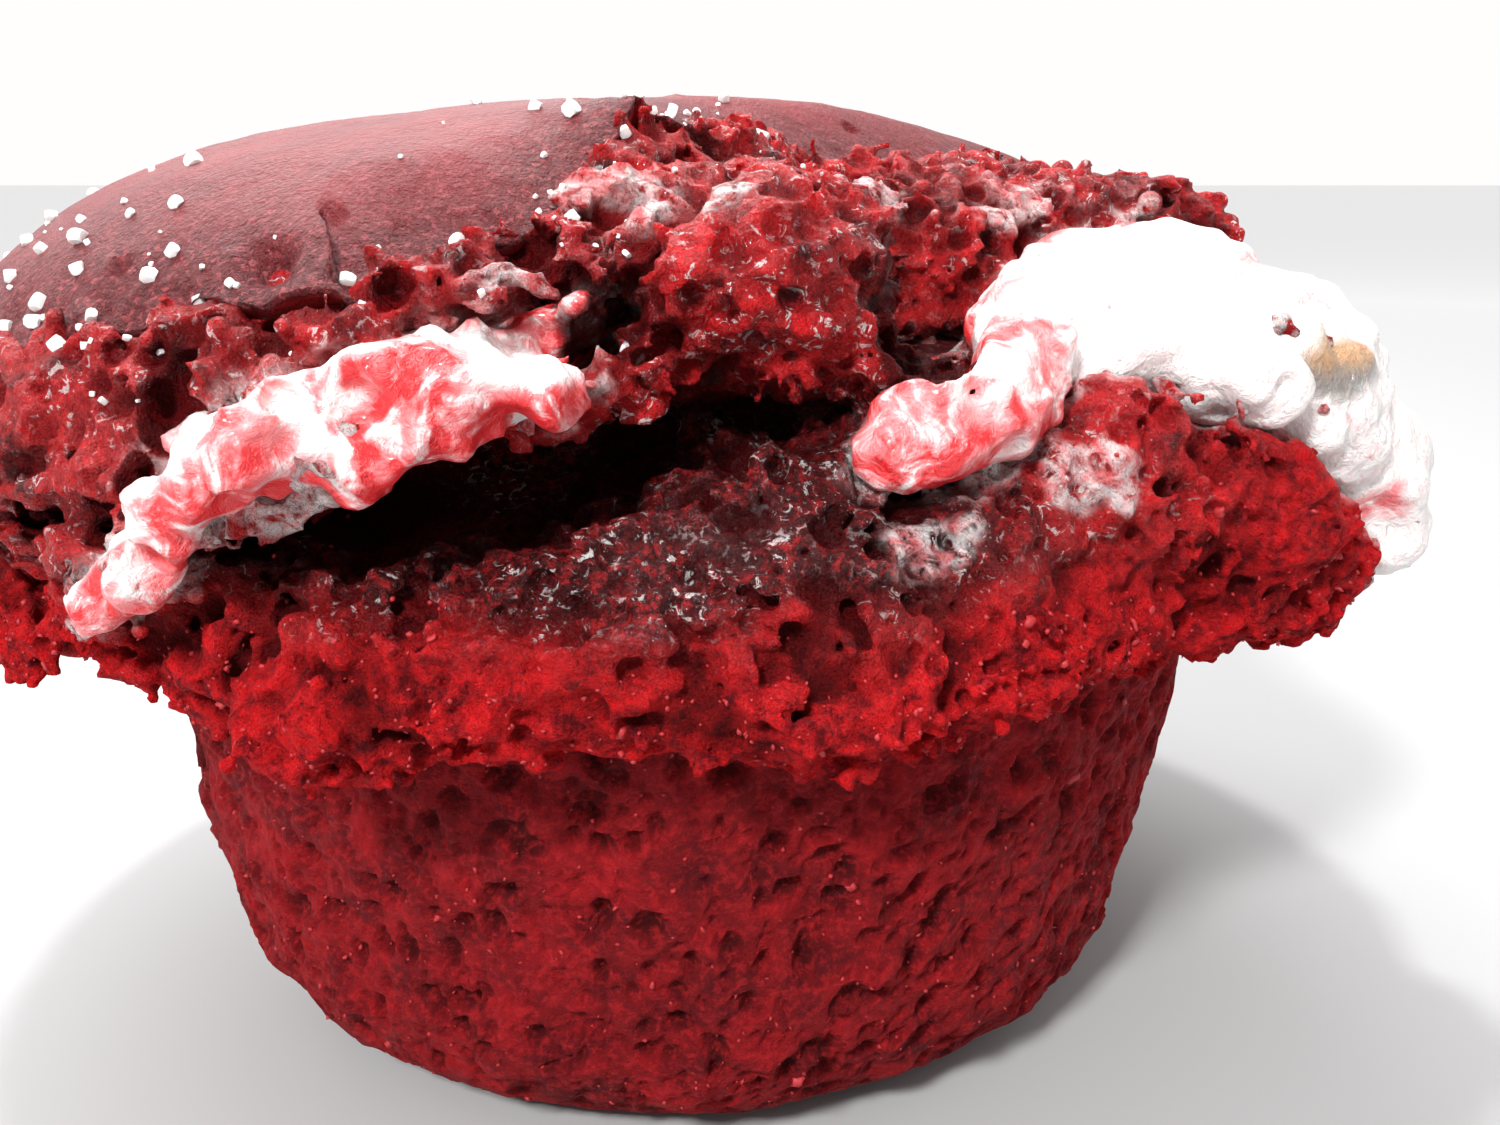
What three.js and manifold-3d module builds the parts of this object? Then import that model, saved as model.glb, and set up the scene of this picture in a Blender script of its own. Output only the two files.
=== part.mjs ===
// A cream-filled cupcake that has burst open at the front while baking.
//
// Millimetres, +Z up. The origin is the middle of the flat base, -Y is the open front and +X its right.
// The cake is one solid: a cup in the shape of its tin, a wide crown with a smooth crust over its left
// and back, and the crumb that the tear at the front lays bare. The filling is the cream that runs
// through the crown and comes out of the tear.

import * as THREE from 'three';
import { mergeVertices } from 'three/addons/utils/BufferGeometryUtils.js';
import Module from 'manifold-3d';

const wasm = await Module();
wasm.setup();

// ---------------------------------------------------------------- driving dimensions

const BASE_RADIUS = 20; // flat of the base that it rests on
const BASE_FILLET = 11; // round between the base and the wall
const CUP_RADIUS = 34.5; // top of the cup, just under the crown
const CUP_HEIGHT = 29; // base to the underside of the crown
const CROWN_RADIUS = 46; // overhanging crust, left and back
const RIM_HEIGHT = 30; // widest line of the crown
const CROWN_TOP = 58.6; // highest point of the crust
const CRUST_SQUARENESS = 2.9; // superellipse power of the crust's profile: 2 is round
const CREAM_GAP = 0.35; // clearance between the cake and the filling
const SUGAR_SIZE = 1.05; // across one crystal
const SUGAR_COUNT = 60;

// ---------------------------------------------------------------- numbers that look random

// A repeatable value between 0 and 1 for a lattice point.
function lattice(i, j, k, seed) {
  const wave = Math.sin(i * 127.1 + j * 311.7 + k * 74.7 + seed * 53.3) * 43758.5453;
  return wave - Math.floor(wave);
}

// Smooth noise between -1 and 1, with bumps about one cell across.
function noise(x, y, z, cell, seed) {
  const [u, v, w] = [x / cell, y / cell, z / cell];
  const [i, j, k] = [Math.floor(u), Math.floor(v), Math.floor(w)];
  const [a, b, c] = [u - i, v - j, w - k].map((t) => t * t * (3 - 2 * t));
  let sum = 0;
  for (const di of [0, 1]) {
    for (const dj of [0, 1]) {
      for (const dk of [0, 1]) {
        const weight = (di ? a : 1 - a) * (dj ? b : 1 - b) * (dk ? c : 1 - c);
        sum += weight * lattice(i + di, j + dj, k + dk, seed);
      }
    }
  }
  return 2 * sum - 1;
}

// A seeded stream of values between 0 and 1.
function stream(seed) {
  let state = seed;
  return () => {
    state = (state * 1664525 + 1013904223) % 4294967296;
    return state / 4294967296;
  };
}

// ---------------------------------------------------------------- surfaces

// Merges shared vertices, so that only the positions and one closed skin are left.
function weld(geometry) {
  const bare = geometry.clone();
  bare.deleteAttribute('normal');
  bare.deleteAttribute('uv');
  return mergeVertices(bare, 1e-4);
}

// Pushes the skin in and out by smooth noise, and outwards by grow.
function roughen(geometry, { lump = 0, cell = 6, seed = 1, grow = 0 }) {
  const skin = weld(geometry);
  skin.computeVertexNormals();
  const place = skin.attributes.position;
  const normal = skin.attributes.normal;
  for (let i = 0; i < place.count; i++) {
    const [x, y, z] = [place.getX(i), place.getY(i), place.getZ(i)];
    const push = grow + lump * (noise(x, y, z, cell, seed) + 0.5 * noise(x, y, z, cell / 2, seed + 7));
    place.setXYZ(
      i,
      x + push * normal.getX(i),
      y + push * normal.getY(i),
      z + push * normal.getZ(i),
    );
  }
  return skin;
}

function solid(geometry) {
  const skin = weld(geometry);
  const index = skin.index.array;
  const corners = [];
  for (let i = 0; i < index.length; i += 3) {
    const [a, b, c] = [index[i], index[i + 1], index[i + 2]];
    if (a !== b && b !== c && c !== a) corners.push(a, b, c);
  }
  return new wasm.Manifold(
    new wasm.Mesh({
      numProp: 3,
      vertProperties: new Float32Array(skin.attributes.position.array),
      triVerts: new Uint32Array(corners),
    }),
  );
}

// A surface turned about Z whose profile changes with the angle. profileAt gives [radius, height]
// pairs from the bottom of the axis to its top, for an angle in degrees.
function turned(profileAt, segments) {
  const rows = profileAt(0).length;
  const line = Array.from({ length: rows }, (_, j) => new THREE.Vector2(1, j));
  const geometry = new THREE.LatheGeometry(line, segments);
  const place = geometry.attributes.position;
  for (let i = 0; i <= segments; i++) {
    const degrees = (360 * (i % segments)) / segments;
    const angle = THREE.MathUtils.degToRad(degrees);
    profileAt(degrees).forEach(([radius, height], j) => {
      place.setXYZ(i * rows + j, radius * Math.cos(angle), radius * Math.sin(angle), height);
    });
  }
  return geometry;
}

// A value that runs smoothly round the axis through stations of [angle in degrees, value, ...].
function around(stations, degrees, column = 1) {
  const turn = (angle) => ((angle % 360) + 360) % 360;
  const sorted = stations.map((s) => [turn(s[0]), s[column]]).sort((a, b) => a[0] - b[0]);
  const first = sorted[0];
  const last = sorted[sorted.length - 1];
  const ring = [[last[0] - 360, last[1]], ...sorted, [first[0] + 360, first[1]]];
  const angle = turn(degrees);
  const k = ring.findIndex((s, i) => i < ring.length - 1 && angle >= s[0] && angle <= ring[i + 1][0]);
  const [from, to] = [ring[k], ring[k + 1]];
  const t = THREE.MathUtils.smoothstep(angle, from[0], to[0]);
  return from[1] + t * (to[1] - from[1]);
}

// An uneven ball, stretched to the three half sizes, turned in degrees and put at its place.
function blob({ at, size, turn = [0, 0, 0], detail = 4, lump = 0, cell = 6, seed = 1, grow = 0 }) {
  const ball = new THREE.IcosahedronGeometry(1, detail);
  ball.scale(...size);
  const [rx, ry, rz] = turn.map(THREE.MathUtils.degToRad);
  ball.applyMatrix4(new THREE.Matrix4().makeRotationFromEuler(new THREE.Euler(rx, ry, rz, 'ZYX')));
  ball.translate(...at);
  return solid(roughen(ball, { lump, cell, seed, grow }));
}

// A strand along a path, round at both ends. Each station of the path is [x, y, z, half height], and
// depth is half its thickness, measured out from the axis of the cupcake.
function strand({ path, depth, rings = 20, sides = 10, lump = 0, cell = 6, seed = 1, grow = 0 }) {
  const line = new THREE.CatmullRomCurve3(path.map(([x, y, z]) => new THREE.Vector3(x, y, z)));
  const heights = new THREE.CatmullRomCurve3(path.map((p, i) => new THREE.Vector3(i, p[3], 0)));
  const skin = weld(new THREE.SphereGeometry(1, sides, rings));
  const place = skin.attributes.position;
  for (let i = 0; i < place.count; i++) {
    const t = Math.acos(THREE.MathUtils.clamp(place.getY(i), -1, 1)) / Math.PI;
    const centre = line.getPoint(t);
    const out = new THREE.Vector3(centre.x, centre.y, 0).normalize();
    const up = out.clone().cross(line.getTangent(t)).normalize();
    const across = Math.sin(Math.PI * t);
    const reach = across > 0.01 ? across ** -0.4 : 0; // blunter than a ball's own ends
    centre.addScaledVector(up, place.getX(i) * reach * heights.getPoint(t).y);
    centre.addScaledVector(out, place.getZ(i) * reach * depth);
    place.setXYZ(i, centre.x, centre.y, centre.z);
  }
  return solid(roughen(skin, { lump, cell, seed, grow }));
}

// ---------------------------------------------------------------- the cake

// The cup: flat base, round fillet, and a wall that leans and bulges out a little to the crown. It
// is uneven everywhere but on the base.
function cup() {
  const filletSteps = 7;
  const filletSweep = 85; // degrees, as the wall leans out by the rest
  const wallBulge = 0.5;
  const unevenness = 0.45;
  const profile = [[0, 0], [BASE_RADIUS / 2, 0]];
  for (let i = 0; i <= filletSteps; i++) {
    const angle = THREE.MathUtils.degToRad((i / filletSteps) * filletSweep);
    profile.push([
      BASE_RADIUS + BASE_FILLET * Math.sin(angle),
      BASE_FILLET * (1 - Math.cos(angle)),
    ]);
  }
  const [foot, footHeight] = profile[profile.length - 1];
  for (const t of [0.25, 0.5, 0.75, 1]) {
    const bulge = wallBulge * Math.sin(Math.PI * t);
    profile.push([foot + t * (CUP_RADIUS - foot) + bulge, footHeight + t * (CUP_HEIGHT - footHeight)]);
  }
  profile.push([CUP_RADIUS - 1, CUP_HEIGHT + 4], [0, CUP_HEIGHT + 5]);
  const wall = weld(turned(() => profile, 44));
  const place = wall.attributes.position;
  for (let i = 0; i < place.count; i++) {
    const [x, y, z] = [place.getX(i), place.getY(i), place.getZ(i)];
    const lift = THREE.MathUtils.smoothstep(z, 0.5, 6);
    const scale = 1 + (lift * unevenness * noise(x, y, z, 7, 3)) / CUP_RADIUS;
    place.setXYZ(i, x * scale, y * scale, z);
  }
  return solid(wall);
}

// Height of the crust over the plan, for a crown of the given radius and top.
function domeHeight(radius, edge, top) {
  const share = Math.min(1, radius / edge) ** CRUST_SQUARENESS;
  return RIM_HEIGHT + (top - RIM_HEIGHT) * (1 - share) ** (1 / CRUST_SQUARENESS);
}

// The crusted crown: [angle, radius of the overhang, height of the shoulder, height of the lower
// edge]. Angles are in degrees, counted from +X towards +Y, so the front is at -90.
const CRUST = [
  [-100, 42, 57.2, 39.5],
  [-113, 42.6, 57.2, 38.4],
  [-126, 43.2, 57.2, 36.6],
  [-140, 44.6, 57.2, 36],
  [-158, CROWN_RADIUS, 57, 33.5],
  [180, CROWN_RADIUS, 57, 30.5],
  [150, CROWN_RADIUS, 57.6, 28.8],
  [90, CROWN_RADIUS - 0.5, 58.6, 28.4],
  [45, CROWN_RADIUS - 0.5, 58, 28.4],
  [10, CROWN_RADIUS - 2, 56.5, 30],
];

function crust() {
  const steps = 13;
  const profileAt = (degrees) => {
    const edge = around(CRUST, degrees);
    const shoulder = around(CRUST, degrees, 2);
    const floor = around(CRUST, degrees, 3);
    const profile = [[0, 28], [CUP_RADIUS - 8, 28.2], [edge - 5, floor - 0.6], [edge - 1.4, floor]];
    for (let i = 0; i <= steps; i++) {
      const radius = i === steps ? 0 : edge * Math.cos((i / steps) * Math.PI * 0.5) ** 0.8;
      const top = THREE.MathUtils.lerp(CROWN_TOP - 0.4, shoulder, Math.sqrt(radius / edge));
      profile.push([radius, Math.max(domeHeight(radius, edge, top), floor + 0.9 + 0.4 * i)]);
    }
    return profile;
  };
  return solid(roughen(turned(profileAt, 56), { lump: 0.45, cell: 15, seed: 11 }));
}

// Where the crust is torn away, seen from above: from the left of the front, back round the curled
// peak and out over the right side.
function tear() {
  const edge = [
    [-15, -60], [-13.5, -41], [-11, -34], [-10, -28], [-5, -25.5], [-3, -22], [0, -19], [3, -12],
    [8, -4], [16, 3], [24, 9], [33, 13], [47, 15], [60, 10], [60, -60],
  ];
  const outline = new THREE.Shape(edge.map(([x, y]) => new THREE.Vector2(x, y)));
  const block = new THREE.ExtrudeGeometry(outline, { depth: 50, bevelEnabled: false });
  block.translate(0, 0, 20);
  return solid(block);
}

// The lower crown: [angle, rim radius, brow radius, brow height]. The rim is its lowest edge, and
// the brow is where its torn face turns in towards the crack.
const LEDGE = [
  [-175, 42, 41, 38],
  [-150, 41.5, 39.5, 34],
  [-126, 40, 39, 35],
  [-106, 44.2, 39.5, 36.5],
  [-95, 41, 38, 38.2],
  [-86, 41, 35.5, 40.8],
  [-77, 43, 34, 42],
  [-66, 39.8, 34.5, 42.3],
  [-56, 37.8, 36.5, 42.4],
  [-45, 38, 39.5, 42.4],
  [-37, 41.5, 41.5, 40.6],
  [-22, 44.2, 43.6, 32.8],
  [-8, 44, 42.5, 32.6],
  [8, 43.5, 42, 39],
  [22, 43, 41, 43],
  [90, 40, 38, 42],
];

function ledge() {
  const profileAt = (degrees) => {
    const rim = around(LEDGE, degrees, 1);
    const brow = around(LEDGE, degrees, 2);
    const height = around(LEDGE, degrees, 3);
    const face = (t, bulge) => [
      THREE.MathUtils.lerp(rim, brow, t) + bulge,
      THREE.MathUtils.lerp(RIM_HEIGHT + 1, height, t),
    ];
    return [
      [0, 26.5],
      [CUP_RADIUS - 5, 27],
      [rim - 5.5, 28],
      [rim - 1.8, 28.6],
      [rim - 0.3, 29.6],
      face(0, 0),
      face(0.33, 0.9),
      face(0.66, 1.1),
      face(1, 0),
      [brow - 3, height + 1.3],
      [brow - 9, height + 1.6],
      [brow - 18, 43.5],
      [0, 44.5],
    ];
  };
  return solid(roughen(turned(profileAt, 58), { lump: 0.75, cell: 4.5, seed: 21 }));
}

// The crumb inside the crown that the missing crust leaves bare: [angle, radius, height of top].
const CRUMB = [
  [-130, 34, 51],
  [-112, 35, 51.5],
  [-100, 33, 52.5],
  [-90, 31, 53.6],
  [-70, 24, 53.6],
  [-50, 17, 53],
  [-25, 24, 52.5],
  [-8, 35.5, 53.2],
  [10, 41, 53.2],
  [28, 40, 52],
  [60, 36, 51],
  [180, 34, 51],
];

function crumb() {
  const floor = 40;
  const profileAt = (degrees) => {
    const edge = around(CRUMB, degrees);
    const top = around(CRUMB, degrees, 2);
    return [
      [0, floor],
      [edge * 0.6, floor],
      [edge * 0.96, floor + 1],
      [edge, floor + 0.35 * (top - floor)],
      [edge * 0.985, floor + 0.65 * (top - floor)],
      [edge * 0.93, floor + 0.88 * (top - floor)],
      [edge * 0.82, top],
      [edge * 0.6, top + 0.8],
      [edge * 0.35, 54.8],
      [0, 55.2],
    ];
  };
  return solid(roughen(turned(profileAt, 40), { lump: 0.8, cell: 5, seed: 31 }));
}

// Lumps of crumb that stand out of the torn faces.
function lumps() {
  const shapes = [
    // wet chunk in the middle of the front
    { at: [4.2, -24.5, 48.2], size: [8.6, 9.6, 5.6], turn: [0, -6, 0], detail: 5, lump: 0.8, cell: 4 },
    // its lower right nub
    { at: [11, -28.5, 44.6], size: [2.2, 3.4, 1.7], turn: [0, 10, 20], detail: 2, lump: 0.3 },
    // crumb between the chunk and the left flap
    { at: [-6, -29, 47], size: [8, 9, 4.2], turn: [0, -16, 8], detail: 4, lump: 0.8, cell: 4 },
    // left flap that hangs over the crack, with its tip over the rim
    { at: [-8.5, -33, 43.4], size: [10, 7.6, 2.5], turn: [0, -8, 4], detail: 4, lump: 0.5, cell: 4 },
    { at: [-17, -33.5, 40], size: [8, 7.2, 3.2], turn: [0, -36, -22], detail: 4, lump: 0.5, cell: 4 },
    { at: [-23.9, -34.2, 35.4], size: [3, 3, 3.2], turn: [0, -30, -20], detail: 3, lump: 0.4, cell: 3 },
    // curled peak of the crust, along the edge of the tear
    { at: [-3.2, -21.6, 53.4], size: [2.6, 6.4, 2.4], turn: [24, 0, -36], detail: 4, lump: 0.5, cell: 3 },
    { at: [0.4, -17, 55], size: [2.2, 3.6, 2.1], turn: [-10, 0, -30], detail: 3, lump: 0.4, cell: 3 },
    // blocks of torn crumb at the right of the top
    { at: [18, -2, 51.4], size: [6, 7, 3.4], detail: 3, lump: 0.8, cell: 3.5 },
    { at: [27, -1, 50.4], size: [5.4, 6, 3.5], turn: [0, 8, 10], detail: 3, lump: 0.8, cell: 3.5 },
    { at: [33.6, 0.5, 49.4], size: [3.4, 5, 3.2], turn: [0, 12, -10], detail: 3, lump: 0.7, cell: 3.5 },
  ];
  return shapes.map((shape, i) => blob({ ...shape, seed: 41 + i }));
}

// The crack under the flap and the chunk: a thin lens seen from the front, cut straight back.
function crack() {
  const top = [[-14.5, 38.4], [-10.3, 41], [-4, 41.4], [0, 42.7], [6, 42.7], [12.5, 43.4]];
  const bottom = [[12.5, 43.1], [6, 41.6], [2.6, 40.5], [-1, 38.9], [-5.5, 37], [-10, 36.4]];
  const outline = new THREE.Shape([...bottom, ...top].map(([x, z]) => new THREE.Vector2(x, z)));
  const depth = 27;
  const wedge = new THREE.ExtrudeGeometry(outline, { depth, steps: 6, bevelEnabled: false });
  wedge.rotateX(Math.PI / 2); // the outline's height becomes Z, and its depth runs to -Y
  const place = wedge.attributes.position;
  const [back, middle] = [-24, 40.6];
  for (let i = 0; i < place.count; i++) {
    const [x, y, z] = [place.getX(i), place.getY(i), place.getZ(i)];
    const inward = THREE.MathUtils.clamp(1 + y / 14, 0, 1); // 1 at the back end
    const squeeze = 1 - 0.8 * inward;
    place.setXYZ(i, x * (1 - 0.3 * inward), y + back, middle + (z - middle) * squeeze);
  }
  return solid(wedge);
}

// Hollows in the torn front.
function hollows() {
  return [
    // deep hole between the chunk and the cream
    blob({ at: [13.4, -28, 47], size: [2.5, 5.8, 4.2], turn: [0, 14, -8], detail: 3, lump: 0.3, seed: 61 }),
    // hole in the torn face at the left
    blob({ at: [-20.6, -38, 43.4], size: [1.6, 4, 2.8], turn: [0, 12, 30], detail: 3, seed: 62 }),
  ];
}

// ---------------------------------------------------------------- the filling

// Cream on the left flap, from its tip over the rim to where it goes in under the wet chunk.
const LIP = [
  [-25.4, -35.2, 33.6, 2],
  [-23.4, -36.4, 35.8, 2.5],
  [-19.6, -38.2, 39.2, 2.1],
  [-15.4, -39.4, 42, 2],
  [-11.4, -39.6, 43.8, 2.8],
  [-7.2, -39.2, 44.4, 2.9],
  [-3, -37.8, 44.6, 2.6],
  [0, -35.6, 44.8, 2],
];

// Cream that spills from the heap down over the right end of the crack.
const SPILL = [
  [23, -20.5, 45.6, 2.4],
  [19, -26.6, 45, 2.3],
  [16.4, -30.6, 43.6, 2.8],
  [13, -32.4, 41.8, 2.7],
  [10.4, -33.4, 40.6, 1.8],
];

function filling(grow) {
  const shapes = [
    // layer inside the crown, from the left lip to the right side
    { at: [6, -9, 41.8], size: [27, 12, 1.3], turn: [2, 0, -4], cell: 9, lump: 0.2 },
    { at: [-12, -27.5, 43.2], size: [12, 12.5, 1.7], turn: [-6, -18, 0], detail: 2, cell: 9, lump: 0.2 },
    // heap on the right side, over the brow of the ledge and down to the right tip
    { at: [22.4, -19.5, 45.4], size: [6.3, 7.5, 3.2], turn: [8, 0, 0], lump: 0.6 },
    { at: [28.4, -15.5, 45.4], size: [8.6, 10.5, 4.2], turn: [12, 8, 0], lump: 0.7 },
    { at: [35, -12.5, 42], size: [7, 9.5, 5.2], turn: [6, 38, 0], lump: 0.7 },
    { at: [40.2, -11.5, 36.8], size: [4.4, 7.2, 4.6], turn: [0, 50, 0], detail: 2, lump: 0.6 },
    { at: [42, -12.8, 33], size: [2.8, 5, 2.8], turn: [0, 40, 0], detail: 2, lump: 0.4 },
  ];
  const parts = shapes.map((shape, i) => blob({ cell: 4, detail: 3, ...shape, seed: 81 + i, grow }));
  parts.push(strand({ path: LIP, depth: 2.6, cell: 3.5, lump: 0.5, seed: 71, grow }));
  parts.push(strand({ path: SPILL, depth: 2.5, rings: 14, cell: 3.5, lump: 0.5, seed: 72, grow }));
  return parts.reduce((sum, part) => sum.add(part));
}

// ---------------------------------------------------------------- sugar

function sugarCrystal(random, place) {
  const grain = new THREE.BoxGeometry(SUGAR_SIZE, SUGAR_SIZE * 0.85, SUGAR_SIZE * 0.9);
  grain.rotateX(random() * 6);
  grain.rotateY(random() * 6);
  grain.scale(...[0, 1, 2].map(() => 0.75 + 0.5 * random()));
  grain.translate(place.x, place.y, place.z + 0.15 * SUGAR_SIZE);
  return solid(grain);
}

// Crystals dropped from above on the left and the back, each sunk a little in what it lands on.
function sugar(cake, cream) {
  const random = stream(2024);
  const target = new THREE.Mesh(geometryOf(cake), new THREE.MeshBasicMaterial());
  const shield = new THREE.Mesh(geometryOf(cream), new THREE.MeshBasicMaterial());
  const down = new THREE.Vector3(0, 0, -1);
  const grains = [];
  const places = [];
  while (grains.length < SUGAR_COUNT) {
    const x = -43 + 62 * random();
    const y = -38 + 66 * random() ** 0.9;
    const ray = new THREE.Raycaster(new THREE.Vector3(x, y, 90), down);
    const hit = ray.intersectObject(target)[0];
    if (!hit || hit.face.normal.z < 0.35 || hit.point.z < 44) continue;
    const near = (p) => p.distanceTo(hit.point) < 2.2 * SUGAR_SIZE;
    if (places.some(near) || ray.intersectObject(shield)[0]?.point.z > hit.point.z - 3) continue;
    places.push(hit.point);
    grains.push(sugarCrystal(random, hit.point));
  }
  return grains.reduce((sum, grain) => sum.add(grain), cake);
}

// ---------------------------------------------------------------- assembly

function geometryOf(shape) {
  const mesh = shape.getMesh();
  const geometry = new THREE.BufferGeometry();
  const stride = mesh.numProp;
  const place = new Float32Array((mesh.vertProperties.length / stride) * 3);
  for (let i = 0; i < place.length / 3; i++) {
    for (let k = 0; k < 3; k++) place[3 * i + k] = mesh.vertProperties[stride * i + k];
  }
  geometry.setAttribute('position', new THREE.BufferAttribute(place, 3));
  geometry.setIndex(new THREE.BufferAttribute(new Uint32Array(mesh.triVerts), 1));
  geometry.computeVertexNormals();
  return geometry;
}

// The largest separate body of a shape, without the scraps that cutting leaves.
function largest(shape) {
  return shape.decompose().reduce((a, b) => (a.volume() > b.volume() ? a : b));
}

function piece(name, shape, colour, roughness) {
  const material = new THREE.MeshStandardMaterial({ color: colour, roughness, metalness: 0 });
  const mesh = new THREE.Mesh(geometryOf(shape), material);
  mesh.name = name;
  return mesh;
}

function cake() {
  const crown = [crust().subtract(tear()), ledge(), crumb(), ...lumps()];
  let body = crown.reduce((sum, part) => sum.add(part), cup());
  for (const hollow of [crack(), ...hollows()]) body = body.subtract(hollow);
  const cream = filling(CREAM_GAP);
  return largest(sugar(largest(body.subtract(cream)), cream));
}

const cupcake = new THREE.Group();
cupcake.name = 'cupcake';
cupcake.add(piece('cake', cake(), 0x7d1620, 0.75), piece('filling', largest(filling(0)), 0xf3ece8, 0.5));

export default cupcake;
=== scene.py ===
"""A torn red sponge cupcake with a cream filling, sugar and crumbs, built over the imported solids."""
import math

import bmesh
import bpy
import numpy as np
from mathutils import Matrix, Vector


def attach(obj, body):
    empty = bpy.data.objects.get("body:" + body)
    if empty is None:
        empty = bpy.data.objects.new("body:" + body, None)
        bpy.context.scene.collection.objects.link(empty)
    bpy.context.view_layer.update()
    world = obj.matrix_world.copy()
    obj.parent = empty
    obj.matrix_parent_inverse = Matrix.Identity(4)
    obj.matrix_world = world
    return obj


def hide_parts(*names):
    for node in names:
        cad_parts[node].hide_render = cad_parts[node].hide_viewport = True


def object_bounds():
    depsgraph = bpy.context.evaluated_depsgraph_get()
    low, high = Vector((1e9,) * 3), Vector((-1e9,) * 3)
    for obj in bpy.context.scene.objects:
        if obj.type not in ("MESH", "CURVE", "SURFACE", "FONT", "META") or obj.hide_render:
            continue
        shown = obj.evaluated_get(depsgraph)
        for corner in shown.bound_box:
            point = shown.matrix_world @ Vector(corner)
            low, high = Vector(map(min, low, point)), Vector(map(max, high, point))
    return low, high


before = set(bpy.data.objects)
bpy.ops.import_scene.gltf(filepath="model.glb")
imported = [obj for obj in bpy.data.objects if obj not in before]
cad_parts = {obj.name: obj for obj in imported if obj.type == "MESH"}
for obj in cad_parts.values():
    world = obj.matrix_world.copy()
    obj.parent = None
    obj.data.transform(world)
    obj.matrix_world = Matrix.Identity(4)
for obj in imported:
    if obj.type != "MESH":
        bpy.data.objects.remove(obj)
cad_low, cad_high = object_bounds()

import openvdb as vdb
from mathutils import Vector

bl_info = {
    "name": "Torn Cupcake",
    "version": (1, 0, 0),
    "blender": (4, 5, 0),
    "location": "View3D > Sidebar > Cupcake",
    "description": "Builds a torn sponge cupcake with a cream filling, sugar and crumbs",
    "category": "Add Mesh",
}

MM = 0.001
BOX_LOW = np.array(cad_low) / MM
BOX_HIGH = np.array(cad_high) / MM
# How far inside the solids' box points and surfaces are kept that would leave it.
BOX_MARGIN = 0.02
SKIN_MARGIN = 0.06

# The crown: angle round the axis in degrees from +X towards +Y, rim radius and
# height of the shoulder, in mm.
CROWN = np.array([
    (-180, 46.0, 57.0), (-158, 46.0, 57.0), (-140, 44.6, 57.2), (-126, 43.2, 57.2),
    (-113, 42.6, 57.2), (-100, 42.0, 57.2), (10, 44.0, 56.5), (45, 45.5, 58.0), (90, 45.5, 58.6),
    (150, 46.0, 57.6), (180, 46.0, 57.0),
])
RIM_HEIGHT = 30.0
CROWN_TOP = 58.6
SQUARENESS = 2.9

# Where the crust ends on the left face: angle round the axis and height.
LEFT_EDGE = np.array([
    (-171, 30.6), (-168, 31.8), (-162, 34.0), (-156, 37.5), (-147, 41.5), (-139, 44.7), (-133, 45.9),
    (-126, 46.6), (-122, 48.0), (-116, 47.7), (-111, 48.6),
])
# Where it ends from the front round to the right rim: x, y and how far it sags there.
TORN_EDGE = np.array([
    (-12.3, -34.6, 0.6), (-11.0, -32.8, 1.2), (-9.2, -31.4, 1.9), (-6.6, -30.5, 1.9),
    (-4.2, -29.2, 1.8), (-3.0, -26.2, 1.6), (-2.0, -22.8, 0.9), (-0.6, -19.4, 0.3),
    (2.6, -12.6, 1.6), (8.0, -4.6, 2.8), (16.0, 2.6, 3.0), (24.0, 8.2, 2.6), (33.0, 11.8, 1.0),
    (36.0, 11.8, 0.8), (38.0, 13.0, 0.6), (39.8, 12.75, 0.4), (41.0, 13.3, 0.2), (41.8, 13.2, 0.1),
    (42.2, 13.7, 0.0),
])
LEFT_END, RIGHT_END = [(-60.0, -4.0, 0.0)], [(60.0, 17.0, 0.0)]
CRUST_CENTRE = np.array((-8.0, 22.0))


# ------------------------ numbers on lattices

LATTICE = 64
RANDOM_LATTICE = np.random.default_rng(41).uniform(-1, 1, (LATTICE,) * 3).astype(np.float32)
LATTICE_TURN = np.array([(0.80, -0.36, 0.48), (0.36, 0.93, 0.09), (-0.48, 0.10, 0.87)], np.float32)


def grain(points, size, seed):
    """Noise from -1 to 1: random numbers on a turned cubic lattice of this size, blended
    between the eight corners of each cell by the curve 3t squared minus 2t cubed."""
    shift = np.array((7.31, 11.97, 5.13), np.float32) * seed
    place = np.asarray(points, np.float32) @ LATTICE_TURN.T / np.float32(size) + shift
    cell = np.floor(place)
    part = place - cell
    part = part * part * (3 - 2 * part)
    cell = cell.astype(np.int32)
    result = np.zeros(place.shape[:-1], np.float32)
    for corner in np.ndindex(2, 2, 2):
        weight = np.ones_like(result)
        for axis in range(3):
            weight *= part[..., axis] if corner[axis] else 1 - part[..., axis]
        i, j, k = ((cell[..., axis] + corner[axis]) % LATTICE for axis in range(3))
        result += weight * RANDOM_LATTICE[i, j, k]
    return result


def grains(points, *layers):
    """Several layers of that noise added up, each with its share, size and seed."""
    return sum(share * grain(points, size, seed) for share, size, seed in layers)


def ramp(low, high, value):
    """0 below low, 1 above high, and the curve 3t squared minus 2t cubed between them."""
    t = np.clip((value - low) / (high - low), 0, 1)
    return t * t * (3 - 2 * t)


def bell(value, width, middle=0.0):
    """1 at the middle, falling off as e to the minus square of the distance over the width."""
    return np.exp(-((value - middle) / width) ** 2)


def length_from(points, place, half_sizes=1.0):
    """Length of the way from a place to each point, measured in the half sizes."""
    return np.linalg.norm((points - place) / half_sizes, axis=-1)


def running(steps):
    """0 and then the running sum of these steps."""
    return np.concatenate([0 * steps[:1], np.cumsum(steps, 0)])


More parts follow.
